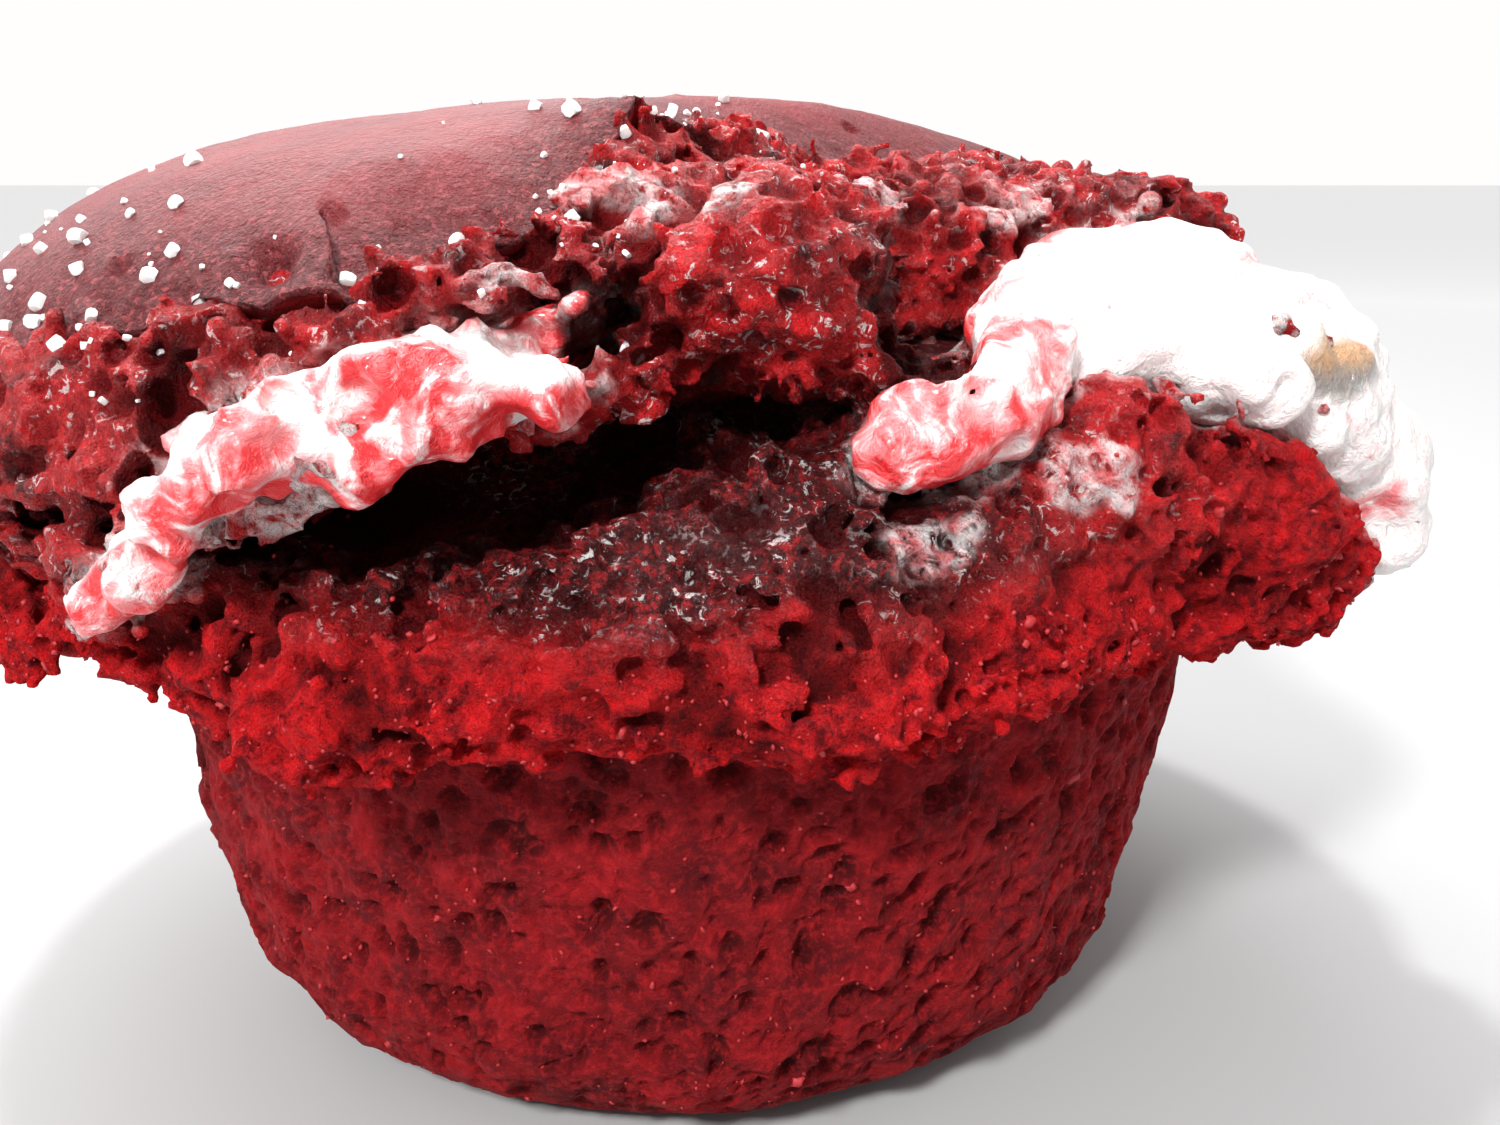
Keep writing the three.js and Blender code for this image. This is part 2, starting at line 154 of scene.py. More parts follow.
def along_line(line, length, at):
    """The points at these lengths along a line, straight between its own points."""
    return np.stack([np.interp(at, length, column) for column in line.T], -1)


def read(items, key, width, kind=np.float32):
    """One value of every item of a mesh, as an array with this many columns."""
    data = np.empty(len(items) * width, kind)
    items.foreach_get(key, data)
    return data.reshape(-1, width)


class Lattice:
    """A box of evenly spaced points, in mm, on which a distance is kept."""

    def __init__(self, low, high, step):
        self.step = step
        self.low = np.round(np.array(low) / step).astype(int)
        self.shape = tuple(np.round(np.array(high) / step).astype(int) - self.low + 1)
        self.axes = [(self.low[k] + np.arange(self.shape[k])) * step for k in range(3)]

    def points(self, flat):
        """The places of the points with these flat indices."""
        index = np.stack(np.unravel_index(flat, self.shape), -1)
        return ((index + self.low) * self.step).astype(np.float32)

    def plan(self):
        """x and y of every upright row of points."""
        return np.meshgrid(*self.axes[:2], indexing="ij")

    def sample(self, values, points):
        """values at any places, blended in a straight line between the eight neighbours."""
        place = np.asarray(points) / self.step - self.low
        place = np.clip(place, 0, np.array(self.shape) - 1.001)
        cell = np.floor(place).astype(np.int32)
        part = place - cell
        result = np.zeros(len(place), np.float32)
        for corner in np.ndindex(2, 2, 2):
            weight = np.ones(len(place))
            for axis in range(3):
                weight *= part[:, axis] if corner[axis] else 1 - part[:, axis]
            i, j, k = (cell[:, axis] + corner[axis] for axis in range(3))
            result += (weight * values[i, j, k]).astype(np.float32)
        return result


def node_distance(name, lattice, band=3.2):
    """The distance of each lattice point from a solid's surface, negative inside it,
    and held at the band further off."""
    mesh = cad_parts[name].data
    mesh.calc_loop_triangles()
    grid = vdb.FloatGrid.createLevelSetFromPolygons(
        read(mesh.vertices, "co", 3) / np.float32(MM),
        triangles=read(mesh.loop_triangles, "vertices", 3, np.int32),
        transform=vdb.createLinearTransform(lattice.step),
        halfWidth=band / lattice.step,
    )
    values = np.zeros(lattice.shape, np.float32)
    grid.copyToArray(values, ijk=tuple(int(i) for i in lattice.low))
    return values


def soften(values, width):
    """values blurred by a bell curve of this width, in lattice steps, along each axis in turn."""
    reach = max(1, int(math.ceil(width * 2.6)))
    bell = np.exp(-0.5 * (np.arange(reach + 1) / width) ** 2)
    bell = (bell / (bell[0] + 2 * bell[1:].sum())).astype(np.float32)
    for axis in range(3):
        pad = [(0, 0)] * 3
        pad[axis] = (reach, reach)
        wide = np.pad(values, pad, mode="edge")
        size = values.shape[axis]

        def moved(by):
            span = [slice(None)] * 3
            span[axis] = slice(reach + by, reach + by + size)
            return wide[tuple(span)]

        result = moved(0) * bell[0]
        for by in range(1, reach + 1):
            result += bell[by] * (moved(by) + moved(-by))
        values = result
    return values


def stamp_balls(lattice, values, centres, radii, hollow=True):
    """Takes round pores out of the shape, where the distance becomes the greater of itself
    and the radius less the distance from the centre, or adds round grains to it, where it
    becomes the lesser of itself and the same number turned about."""
    step = lattice.step
    xs, ys, zs = lattice.axes
    for centre, radius in zip(centres, radii):
        reach = radius + 2.5 * step
        start = np.maximum(np.ceil((centre - reach) / step).astype(int) - lattice.low, 0)
        stop = np.floor((centre + reach) / step).astype(int) - lattice.low + 1
        i, j, k = (slice(start[n], max(start[n], stop[n])) for n in range(3))
        dx = (xs[i] - centre[0])[:, None, None]
        dy = (ys[j] - centre[1])[None, :, None]
        dz = (zs[k] - centre[2])[None, None, :]
        ball = (radius - np.sqrt(dx * dx + dy * dy + dz * dz)).astype(np.float32)
        block = values[i, j, k]
        if hollow:
            np.maximum(block, ball, out=block)
        else:
            np.minimum(block, -ball, out=block)


# ------------------------ meshes


def keep_numbers(mesh, numbers):
    """Keeps one named number per point for each entry of numbers."""
    for key, values in numbers.items():
        layer = mesh.attributes.new(key, "FLOAT", "POINT")
        layer.data.foreach_set("value", np.asarray(values, np.float32))


def add_mesh(name, points, faces, numbers):
    """An object with this mesh, its points in mm, and these numbers on them."""
    mesh = bpy.data.meshes.new(name)
    faces = np.asarray(faces, np.int32)
    sides = faces.shape[1]
    mesh.vertices.add(len(points))
    mesh.vertices.foreach_set("co", (np.asarray(points, np.float64) * MM).astype(np.float32).ravel())
    mesh.loops.add(faces.size)
    mesh.loops.foreach_set("vertex_index", faces.ravel())
    mesh.polygons.add(len(faces))
    mesh.polygons.foreach_set("loop_start", np.arange(0, faces.size, sides, dtype=np.int32))
    mesh.update(calc_edges=True)
    mesh.polygons.foreach_set("use_smooth", np.ones(len(faces), bool))
    keep_numbers(mesh, numbers)
    mesh.validate()
    obj = bpy.data.objects.new(name, mesh)
    bpy.context.scene.collection.objects.link(obj)
    return obj


def main_bodies(points, faces, share=0.02):
    """Only the connected parts with at least this share of the points, so no scrap hangs in
    the air: each point takes the smallest label among its neighbours until none changes."""
    label = np.arange(len(points))
    ends = np.concatenate([faces[:, [n, (n + 1) % faces.shape[1]]] for n in range(faces.shape[1])])
    first, second = ends[:, 0], ends[:, 1]
    while True:
        lowest = np.minimum(label[first], label[second])
        changed = label.copy()
        np.minimum.at(changed, first, lowest)
        np.minimum.at(changed, second, lowest)
        changed = changed[changed]
        changed = changed[changed]
        if np.array_equal(changed, label):
            break
        label = changed
    keep = np.bincount(label)[label] > share * len(points)
    renumber = np.cumsum(keep) - 1
    return points[keep], renumber[faces[keep[faces[:, 0]]]]


def skin_of(lattice, values, merge):
    """The surface where the distance is nought, as points in mm and triangles facing out.
    merge joins faces where the surface is flat."""
    grid = vdb.FloatGrid(3.0)
    grid.copyFromArray(values, ijk=tuple(int(i) for i in lattice.low))
    grid.transform = vdb.createLinearTransform(lattice.step)
    points, triangles, quads = grid.convertToPolygons(isovalue=0.0, adaptivity=merge)
    triangles, quads = np.asarray(triangles, np.int64).reshape(-1, 3), np.asarray(quads, np.int64)
    faces = np.concatenate([triangles, quads[:, [0, 1, 2]], quads[:, [0, 2, 3]]])
    points, faces = main_bodies(np.asarray(points, np.float64), faces)
    a, b, c = (points[faces[:, n]] for n in range(3))
    if np.einsum("ij,ij->i", a, np.cross(b, c)).sum() < 0:
        faces = faces[:, ::-1]
    return points, faces


def closed_faces(rows, columns):
    """Triangles of a grid whose columns join round: two for each of its cells. The first and
    last rows are one point each, so there they close in fans."""
    ring = np.arange(columns)
    after = (ring + 1) % columns
    body = 1 + np.arange(rows - 2)[:, None] * columns
    lower, upper = body[:-1], body[1:]
    quads = np.stack([lower + ring, lower + after, upper + after, upper + ring], -1).reshape(-1, 4)
    halves = np.concatenate([quads[:, [0, 1, 2]], quads[:, [0, 2, 3]]])
    last = 1 + (rows - 2) * columns
    start = np.stack([np.zeros(columns, int), 1 + after, 1 + ring], -1)
    end = np.stack([np.full(columns, last), last - columns + ring, last - columns + after], -1)
    return np.concatenate([start, halves, end])


def closed(grid):
    """The points of such a grid, or a number at each of them, with one entry for its first
    row and one for its last."""
    return np.concatenate([grid[:1, 0], grid[1:-1].reshape(-1, *grid.shape[2:]), grid[-1:, 0]])


def facing(grid):
    """The direction square to a grid's surface: the cross product of its steps along the
    columns and along the rows, made one long."""
    across = np.roll(grid, -1, 1) - np.roll(grid, 1, 1)
    along = np.gradient(grid, axis=0)
    square = np.cross(across, along)
    return square / np.maximum(np.linalg.norm(square, axis=-1, keepdims=True), 1e-9)


# ------------------------ the crown's crust


def crown_at(angle, column):
    """A column of the crown's table at this angle."""
    return np.interp(angle, CROWN[:, 0], CROWN[:, column])


def dome_height(x, y):
    """Height of the whole crown over a point: the rim's height plus the rise to the top
    times (1 - (r / R) ** n) ** (1 / n)."""
    angle = np.degrees(np.arctan2(y, x))
    share = np.hypot(x, y) / crown_at(angle, 1)
    top = CROWN_TOP + (crown_at(angle, 2) - CROWN_TOP) * np.sqrt(np.minimum(share, 1))
    rise = np.maximum(1 - np.minimum(share, 1) ** SQUARENESS, 0) ** (1 / SQUARENESS)
    return RIM_HEIGHT + (top - RIM_HEIGHT) * rise


def level_arc(angle, radius, torn):
    """A stretch of the crust's outline from angles and radii, where it doesn't sag."""
    turn = np.radians(angle)
    return np.stack([radius * np.cos(turn), radius * np.sin(turn), 0 * turn, torn + 0 * turn], -1)


def edge_line():
    """The crust's whole outline: x, y, how far it sags and 1 where it is torn. It follows the
    torn edge from the left rim round the front to the right, then the rim round the back. On
    the left its radius is where the dome comes down to the edge's height."""
    angle, height = LEFT_EDGE.T
    rise = ((height - RIM_HEIGHT) / (crown_at(angle, 2) - RIM_HEIGHT)) ** SQUARENESS
    left = level_arc(angle, crown_at(angle, 1) * (1 - rise) ** (1 / SQUARENESS), 1)
    front = np.column_stack([TORN_EDGE, np.ones(len(TORN_EDGE))])
    angle = np.linspace(20, 188, 120)
    back = level_arc(angle, 1.001 * crown_at((angle + 180) % 360 - 180, 1), 0)
    return np.concatenate([left, front, back])


def even_outline(line, count):
    """The closed line again as evenly spaced points."""
    loop = np.concatenate([line, line[:1]])
    length = running(np.hypot(*np.diff(loop[:, :2], axis=0).T))
    return along_line(loop, length, np.linspace(0, length[-1], count, endpoint=False))


def torn_edge(x, y):
    """Plan distance from the torn edge, positive on the torn side, with the rim left out, and
    how far the crust sags at the nearest point of that edge. Past both rims the edge runs
    straight on, to its far ends."""
    line = edge_line()
    line = np.concatenate([LEFT_END, line[line[:, 3] > 0.5][:, :3], RIGHT_END])
    nearest = np.full(np.shape(x), 1e9)
    side, sag = np.zeros(np.shape(x)), np.zeros(np.shape(x))
    for (ax, ay, start), (bx, by, end) in zip(line[:-1], line[1:]):
        dx, dy = bx - ax, by - ay
        t = np.clip(((x - ax) * dx + (y - ay) * dy) / (dx * dx + dy * dy), 0, 1)
        gap = np.hypot(x - ax - t * dx, y - ay - t * dy)
        closer = gap < nearest
        side = np.where(closer, np.sign((x - ax) * dy - (y - ay) * dx), side)
        sag = np.where(closer, start + t * (end - start), sag)
        nearest = np.where(closer, gap, nearest)
    return nearest * side, sag


def crust_height(x, y):
    """Height of the crust over a point and the plan distance from its torn edge: the dome
    less the sag, which fades out over 8 mm behind the edge."""
    distance, sag = torn_edge(x, y)
    return dome_height(x, y) - sag * (1 - ramp(0, 8.0, -distance)), distance


# How the crust turns under: how far it draws back towards the middle and how far it drops,
# first at the rim, which rolls in to the cup, and then at a torn edge, which is thin.
RIM_UNDER = np.array([
    (0.0, 0.35), (0.1, 0.8), (0.4, 1.3), (0.9, 1.7), (1.7, 1.95), (3.0, 2.0), (5.0, 1.9),
    (7.5, 1.7), (10.5, 1.5), (14.0, 1.4), (18.0, 1.4),
])
TORN_UNDER = np.array([
    (0.04, 0.12), (0.2, 0.3), (0.6, 0.5), (1.2, 0.75), (2.2, 1.1), (3.6, 1.6), (5.0, 2.1),
    (7.0, 2.7), (10.0, 3.3), (13.0, 3.8), (16.0, 4.2),
])
# The lowest that the rolled rim comes, and the point inside where every column ends.
LOWEST_RIM = 29.0
CRUST_FOOT = np.array([*CRUST_CENTRE, 31.0])
# One larger pit in the crust and one raised fold beside its torn edge.
PIT = np.array((-16.8, -31.6, 49.6))
FOLD = np.array((-1.0, -19.5, 57.0))


def crust_grid(columns, rows):
    """The crust as a closed grid: each column runs from the middle over the dome to its edge
    at even spacing, turns under, and comes back to the middle inside. The profiles under the
    rim and under a torn edge are mixed by how torn the column is. Also how torn each column
    is, and how near each point lies to the torn edge."""
    outline = even_outline(edge_line(), columns)
    x, y, _, torn = outline.T
    for _ in range(12):
        torn = (np.roll(torn, 1) + torn * 2 + np.roll(torn, -1)) / 4
    wander = grains(np.stack([x, y, 0 * x], -1), (0.8, 4.5, 3), (0.22, 1.6, 4))
    steep = 1 - 0.6 * ramp(-9, -16, x)
    angle = np.degrees(np.arctan2(y, x))
    begun = np.where(angle < 0, ramp(-172, -155, angle), 1.0)
    away = outline[:, :2] - CRUST_CENTRE
    reach = np.hypot(*away.T)
    heading = away / reach[:, None]
    reach = reach + (wander * 0.8 * steep - 0.45 * steep) * torn * begun
    dense = 1 - (1 - np.linspace(0, 1, 260)) ** 2.4
    plan = CRUST_CENTRE + (dense[:, None] * reach)[:, :, None] * heading
    curve = np.concatenate([plan, crust_height(plan[..., 0], plan[..., 1])[0][..., None]], -1)
    length = running(np.linalg.norm(np.diff(curve, axis=0), axis=-1))
    length = length / length[-1]
    share = np.linspace(0, 1, rows)
    grid = np.stack([along_line(curve[:, n], length[:, n], share) for n in range(columns)], 1)
    band = 1 - ramp(0.3, 6.5, -torn_edge(grid[..., 0], grid[..., 1])[0])
    grid = dress_crust(grid, torn, band)
    edge = grid[-1]
    back, drop = (RIM_UNDER[:, n, None] * (1 - torn) + TORN_UNDER[:, n, None] * torn for n in (0, 1))
    under = np.empty((len(RIM_UNDER), columns, 3))
    under[..., :2] = edge[:, :2] - back[..., None] * heading
    under[..., 2] = np.maximum(edge[:, 2] - drop, LOWEST_RIM - 0.6 * (1 - torn))
    rough = grains(under, (0.45, 1.6, 15), (0.25, 0.8, 16))
    under[..., :2] += (rough * torn)[..., None] * heading
    inner = CRUST_FOOT + (under[-1] - CRUST_FOOT) * np.array([0.6, 0.3, 0.0])[:, None, None]
    whole = np.concatenate([grid, under, inner])
    band = np.concatenate([band, np.repeat(torn[None], len(under) + len(inner), 0)])
    return np.clip(whole, BOX_LOW + BOX_MARGIN, BOX_HIGH - BOX_MARGIN), torn, band


def dress_crust(grid, torn, band):
    """Moves the crust in and out along its own facing: long swells, short wrinkles, a fine
    grain that grows towards the torn edge, a few pinholes, one larger pit and one fold. It is
    sunk a little as a whole, to stay within the solid's box."""
    square = -facing(grid)
    square[0] = (0, 0, 1)
    swell = grains(grid, (0.4, 13, 5), (0.1, 5, 6))
    wrinkle = grains(grid, (0.04, 1.7, 7), (0.03, 0.9, 8))
    pinhole = 0.55 * ramp(0.78, 0.92, grain(grid, 2.6, 9))
    pit = 1.5 * bell(length_from(grid, PIT), 1.1)
    fold = 0.9 * bell(length_from(grid, FOLD), 3.4)
    share = np.linspace(0, 1, len(grid))[:, None]
    fray = ramp(0.9, 1.0, share) * torn
    coarse = grains(grid, (0.32, 1.5, 10), (0.2, 0.75, 14))
    rough = band ** 2 * (0.14 * grain(grid, 1.1, 17) - 0.22 * np.abs(grain(grid, 2.0, 18)))
    move = swell + wrinkle - pinhole - pit + fold + rough + fray * (coarse - 0.3) - 0.12
    return grid + square * move[..., None]


# ------------------------ the cup

# The two sizes of pore in the cup's wall: share of their depth that counts, distance between
# them, seed, smallest and largest radius.
CUP_PORES = ((1.0, 1.75, 5, 0.25, 0.95), (0.75, 0.95, 6, 0.12, 0.5))
# How far the cup's lid lies over the height at which the crown begins.
LID_RISE = 2.4


def cup_line(sizes, count):
    """Radius and height along the cup: flat base, a round fillet, a straight slanting wall,
    and a lid hidden inside the crown, at even spacing on the part that shows."""
    base, fillet = sizes.base_radius / MM, sizes.base_fillet / MM
    top, height = sizes.cup_radius / MM, sizes.cup_height / MM
    lid = height + LID_RISE
    slant = math.atan2(height - fillet, top - base - fillet)
    bend = np.radians(np.linspace(-90, math.degrees(slant) - 90, 24))
    arc = np.stack([base + fillet * np.cos(bend), fillet + fillet * np.sin(bend)], -1)
    line = np.concatenate([[(0, 0), (base * 0.5, 0)], arc, [(top, height), (top - 0.3, lid)]])
    length = running(np.hypot(*np.diff(line, axis=0).T))
    start = base * 0.8
    at = np.concatenate([np.linspace(0, start, 18)[:-1], np.linspace(start, length[-1], count)])
    return np.concatenate([along_line(line, length, at), [(top - 4, lid), (top * 0.5, lid), (0, lid)]])


def dents(along, around, spacing, seed, low, high):
    """How deep the pores are at each point. Pores sit one to a cell of a jittered grid laid
    along and around the wall; each is a round bowl, r minus distance, and the deepest of the
    nine nearest counts."""
    table = np.random.default_rng(seed).random((128, 256, 4))
    rounds = max(1, int(round(around.max() / spacing)))
    cell_along, cell_around = along / spacing, around / around.max() * rounds
    deepest = np.zeros(np.shape(along))
    for di in (-1, 0, 1):
        for dj in (-1, 0, 1):
            i = np.floor(cell_along).astype(int) + di
            j = np.floor(cell_around).astype(int) + dj
            draw = table[i % 128, (j % rounds) % 256]
            gap_along = (i + draw[..., 0] - cell_along) * spacing
            gap_around = (j + draw[..., 1] - cell_around) * spacing
            radius = low + (high - low) * draw[..., 2] ** 2.2
            stretch = 0.75 + 0.6 * draw[..., 3]
            gap = np.hypot(gap_along * stretch, gap_around / stretch)
            deepest = np.maximum(deepest, np.sqrt(np.maximum(radius ** 2 - gap ** 2, 0)))
    return deepest


def cup_grid(sizes, columns, rows):
    """The cup as a closed grid of revolution, its wall moved along its facing by three sizes
    of crumb and by its pores, which fade out towards the base. Also the pores' depth."""
    line = cup_line(sizes, rows)
    turn = np.linspace(0, 2 * math.pi, columns, endpoint=False)
    radius, height = line[:, :1], line[:, 1:]
    grid = np.stack([radius * np.cos(turn), radius * np.sin(turn), height + 0 * turn], -1)
    along = np.repeat(running(np.hypot(*np.diff(line, axis=0).T))[:, None], columns, 1)
    around = np.repeat(turn[None] * sizes.cup_radius / MM, len(line), 0)
    square = facing(grid)
    square[0], square[-1] = (0, 0, -1), (0, 0, 1)
    crumbly = grains(grid, (0.5, 5.5, 11), (0.42, 2.1, 12), (0.22, 0.95, 13))
    pores = np.max([share * dents(along, around, *pore_shade) for share, *pore_shade in CUP_PORES], axis=0)
    move = (crumbly - pores) * (0.25 + 0.75 * ramp(1.0, 6.0, grid[..., 2]))
    move = np.where(grid[..., 2] > sizes.cup_height / MM + LID_RISE - 0.1, 0, move)
    grid = grid + square * move[..., None]
    base = line[:, 1] < 1e-6
    grid[base, :, 2] = np.abs(np.minimum(move[base], 0)) * 0.5
    grid[0, :, 2] = grid[0, 0, 2]
    grid[..., 2] = np.maximum(grid[..., 2], 0)
    return grid, pores


# ------------------------ the torn crumb

# The line between the ledge and the crumb over it: x and height.
SPLIT = np.array([
    (-47, 34.2), (-30, 35.4), (-14.5, 37.6), (-5, 40.6), (5, 42.6), (12.5, 43.8), (20, 45.4),
    (47, 45.4),
])
# The crack under the flap, seen from the front: x, lower and upper lip.
CRACK = np.array([
    (-17.0, 37.6, 37.8), (-14.5, 36.9, 38.6), (-10.3, 36.5, 41.0), (-5.5, 37.1, 41.6),
    (-1.0, 38.9, 42.3), (2.6, 40.4, 42.8), (6.0, 41.4, 43.0), (12.5, 42.6, 43.6),
    (14.5, 43.3, 43.4),
])
# Larger holes: x, y, z and radius.
HOLES = np.array([
    (8.2, -38.2, 36.0, 0.95), (7.4, -38.4, 36.3, 0.7), (3.4, -39.0, 36.4, 0.5),
    (4.6, -38.8, 36.1, 0.55), (5.6, -38.6, 35.9, 0.5), (3.9, -29.5, 44.2, 1.1),
    (12.0, -36.8, 35.2, 0.6), (14.5, -36.0, 35.4, 0.55), (-20.2, -34.6, 42.9, 1.5),
    (-20.8, -35.4, 41.2, 1.0), (-1.5, -34.6, 46.2, 1.0), (-1.2, -33.8, 47.4, 0.9),
])
# Deep hollows, carved out and painted dark as shade: x, y, z and their half sizes.
HOLLOWS = np.array([
    (13.4, -28.0, 46.8, 2.4, 6.5, 4.4),
    (-20.8, -37.2, 43.4, 1.3, 4.0, 2.3), (-22.2, -37.4, 40.6, 0.8, 3.0, 1.3),
    (-0.8, -33.0, 47.6, 1.0, 2.4, 1.8), (-5.2, -32.0, 50.6, 1.3, 2.2, 1.0),
])
# Smears of cream on the torn crumb: x, y, z and size.
CREAM_BITS = np.array([
    (-6.3, -35.6, 50.0, 2.4), (-4.6, -34.0, 50.9, 1.5), (0.4, -28.4, 52.2, 3.4),
    (3.0, -29.6, 52.4, 2.6), (-1.0, -27.0, 52.6, 2.2), (13.3, -35.6, 37.3, 2.2),
    (20.7, -31.6, 39.8, 2.4), (-6.0, -35.0, 46.6, 2.4), (-2.0, -34.6, 46.4, 2.0),
    (13.5, -10.6, 53.0, 3.4), (20.0, -8.5, 52.6, 3.6), (27.0, -7.5, 51.6, 3.6), (32.0, -7.0, 50.4, 2.6),
    (-14.0, -38.8, 39.4, 2.6),
])


def hollow_depth(lattice):
    """How far each lattice point lies inside the nearest of the dark hollows: one less the
    length of its place divided by the half sizes, times the smallest of them."""
    x, y = lattice.plan()
    deepest = np.full(lattice.shape, -9.0, np.float32)
    for cx, cy, cz, rx, ry, rz in HOLLOWS:
        plan = ((x - cx) / rx) ** 2 + ((y - cy) / ry) ** 2
        length = np.sqrt(plan[:, :, None] + ((lattice.axes[2] - cz) / rz) ** 2)
        np.maximum(deepest, (1 - length) * min(rx, ry, rz), out=deepest, casting="same_kind")
    return deepest


def hollow_shade(points):
    """Where the crumb is painted as dark as shade: 1 within any of the hollows, falling to 0 a third of
    their size further out.
    """
    lengths = [length_from(points, place[:3], place[3:]) for place in HOLLOWS]
    return 1 - ramp(1.05, 1.35, np.min(lengths, axis=0))


def box_distance(lattice):
    """Distance outside the solids' box, negative within it, for each lattice point."""
    x, y, z = (
        np.maximum(BOX_LOW[n] + SKIN_MARGIN - axis, axis - BOX_HIGH[n] + SKIN_MARGIN)
        for n, axis in enumerate(lattice.axes)
    )
    return np.maximum(np.maximum(x[:, None], y)[:, :, None], z).astype(np.float32)


# Where the crumb under the crown's left end hangs lower: x, y, z, size and how far.
DROOPS = (
    (-33.5, -24.5, 30.2, 5.0, 1.7), (-38.5, -17.5, 30.0, 5.0, 1.6), (-41.0, -11.0, 30.0, 4.5, 1.4),
)
CRUMB_LOW, CRUMB_HIGH = (-47.6, -43.4, 25.8), (46.4, 20.0, 59.8)
# How deep in the cream the crumb goes on under it, and how far its pieces run into each other.
CREAM_BED = 0.55
OVERLAP = 0.7
PORE_COUNT, GRAIN_COUNT = 17000, 13000
# Height of the crack's hidden end, and the values of y between which it closes.
CRACK_END = 41.2
CRACK_CLOSES = (-30, -17)


class Crumb:
    """The distance from the torn crumb's surface, and what its finish depends on."""

    def __init__(self, step):
        self.lattice = lattice = Lattice(CRUMB_LOW, CRUMB_HIGH, step)
        self.cream = node_distance("filling", lattice)
        self.x, y = lattice.plan()
        self.zs = lattice.axes[2]
        solid = np.minimum(node_distance("cake", lattice), self.cream + CREAM_BED)
        self.smooth, edge = self.under_crust(soften(solid, 0.85 / step), y)
        rough = np.maximum(np.maximum(self.smooth, self.crack(y)), hollow_depth(lattice))
        near = np.flatnonzero(np.abs(rough) < 2.3)
        points = lattice.points(near)
        relief = torn_relief(points)
        open_crumb = ramp(-2.4, -1.0, edge)[:, :, None] + 0 * self.zs
        relief *= open_crumb.astype(np.float32).ravel()[near]
        rough.ravel()[near] += relief
        self.pores(rough, near, points)
        rough = soften(rough, 0.45)
        for cut in (self.cup_cut(y), (-13.0 - edge)[:, :, None], box_distance(lattice)):
            rough = np.maximum(rough, cut)
        self.values = rough.astype(np.float32)

    def under_crust(self, smooth, y):
        """The solid's distance with the crumb sunk under the crust, raised in a lip along the
        torn edge and hung lower at the left end, and the plan distance from that edge."""
        x, zs = self.x, self.zs
        plan = np.stack([x, y, 0 * x], -1)
        roof, edge = crust_height(x, y)
        lap = edge + 0.7 * grain(plan, 2.8, 37) + 0.35 * grain(plan, 1.2, 38)
        raised = 0.4 * bell(lap, 1.2, 0.1) + 0.55 * ramp(-6, -14, x) * bell(lap, 2.6, 1.4)
        sunk = 0.9 * (1 - ramp(-1.6, -0.5, lap)) - raised
        smooth += sunk[:, :, None].astype(np.float32) + np.float32(0.22)
        roof = roof - 1.1 + 1.5 * ramp(-1.5, -0.4, lap) + 30 * ramp(1.2, 4.0, edge)
        smooth = np.maximum(smooth, ((zs - roof[:, :, None]) * 0.8).astype(np.float32))
        for cx, cy, cz, size, drop in DROOPS:
            square = ((x - cx) ** 2 + (y - cy) ** 2)[:, :, None] + (zs - cz) ** 2
            smooth -= (drop * np.exp(-square / size ** 2)).astype(np.float32)
        return smooth, edge

    def crack(self, y):
        """How far a point lies inside the crack: half its height there less the distance from
        its middle, closing towards the back."""
        lower, upper = (np.interp(self.x, CRACK[:, 0], CRACK[:, n]) for n in (1, 2))
        middle, half = (lower + upper) / 2, (upper - lower) / 2
        inward = ramp(*CRACK_CLOSES, y)
        half = (half + 0.35) * (1 - inward) - 1.2 * inward
        middle = middle * (1 - inward) + CRACK_END * inward
        gap = half[:, :, None] - np.abs(self.zs - middle[:, :, None])
        return gap.astype(np.float32)

    def cup_cut(self, y):
        """Keeps the crumb out of the cup: above 30.4 mm within it, and anywhere outside it."""
        floor = 30.4 - 14.0 * ramp(34.6, 36.4, np.hypot(self.x, y))
        return (floor[:, :, None] - self.zs).astype(np.float32)

    def pores(self, rough, near, points):
        """Round pores where the crumb is wet and round grains where it is dry, few large and
        many small, drawn in a fixed order."""
        draw = np.random.default_rng(77)
        shell = np.flatnonzero(np.abs(rough.ravel()[near]) < 0.3)
        places = points[draw.choice(shell, PORE_COUNT + GRAIN_COUNT, replace=False)]
        wet = wetness(places)
        first = np.arange(len(places)) < PORE_COUNT
        radii = 0.26 + 0.72 * draw.random(len(places)) ** 3.0
        radii *= 0.74 + 0.26 * over_split(places) + 0.35 * grain(places, 7.0, 31) + 0.1 * wet
        places = places + draw.normal(0, 0.16, places.shape)
        open_crumb = torn_edge(places[:, 0], places[:, 1])[0] > -1.6
        keep = first & open_crumb & (radii > 0.22) & (places[:, 2] > 27.5)
        stamp_balls(self.lattice, rough, places[keep], radii[keep])
        dry = ~first & open_crumb & (draw.random(len(places)) > 0.25 + 0.7 * wet)
        stamp_balls(self.lattice, rough, places[dry], 0.7 * radii[dry], hollow=False)
        stamp_balls(self.lattice, rough, HOLES[:, :3], HOLES[:, 3])

    def region(self, upper, low, high):
        """Distance from one part of the crumb: over or under the split, and between two
        values of x. Neighbours run on into each other a little, and the one to the right lies
        a hair lower there, so that no groove shows between them."""
        split = np.interp(self.x, SPLIT[:, 0], SPLIT[:, 1])
        above = self.zs[None, None, :] - split[:, :, None]
        across = self.x[:, :, None]
        cut = np.maximum(-above if upper else above, np.maximum(low - across, across - high)) - OVERLAP
        sunk = np.where(across < low + OVERLAP, 0.05, 0.0)
        return np.maximum(self.values + sunk.astype(np.float32), cut.astype(np.float32))

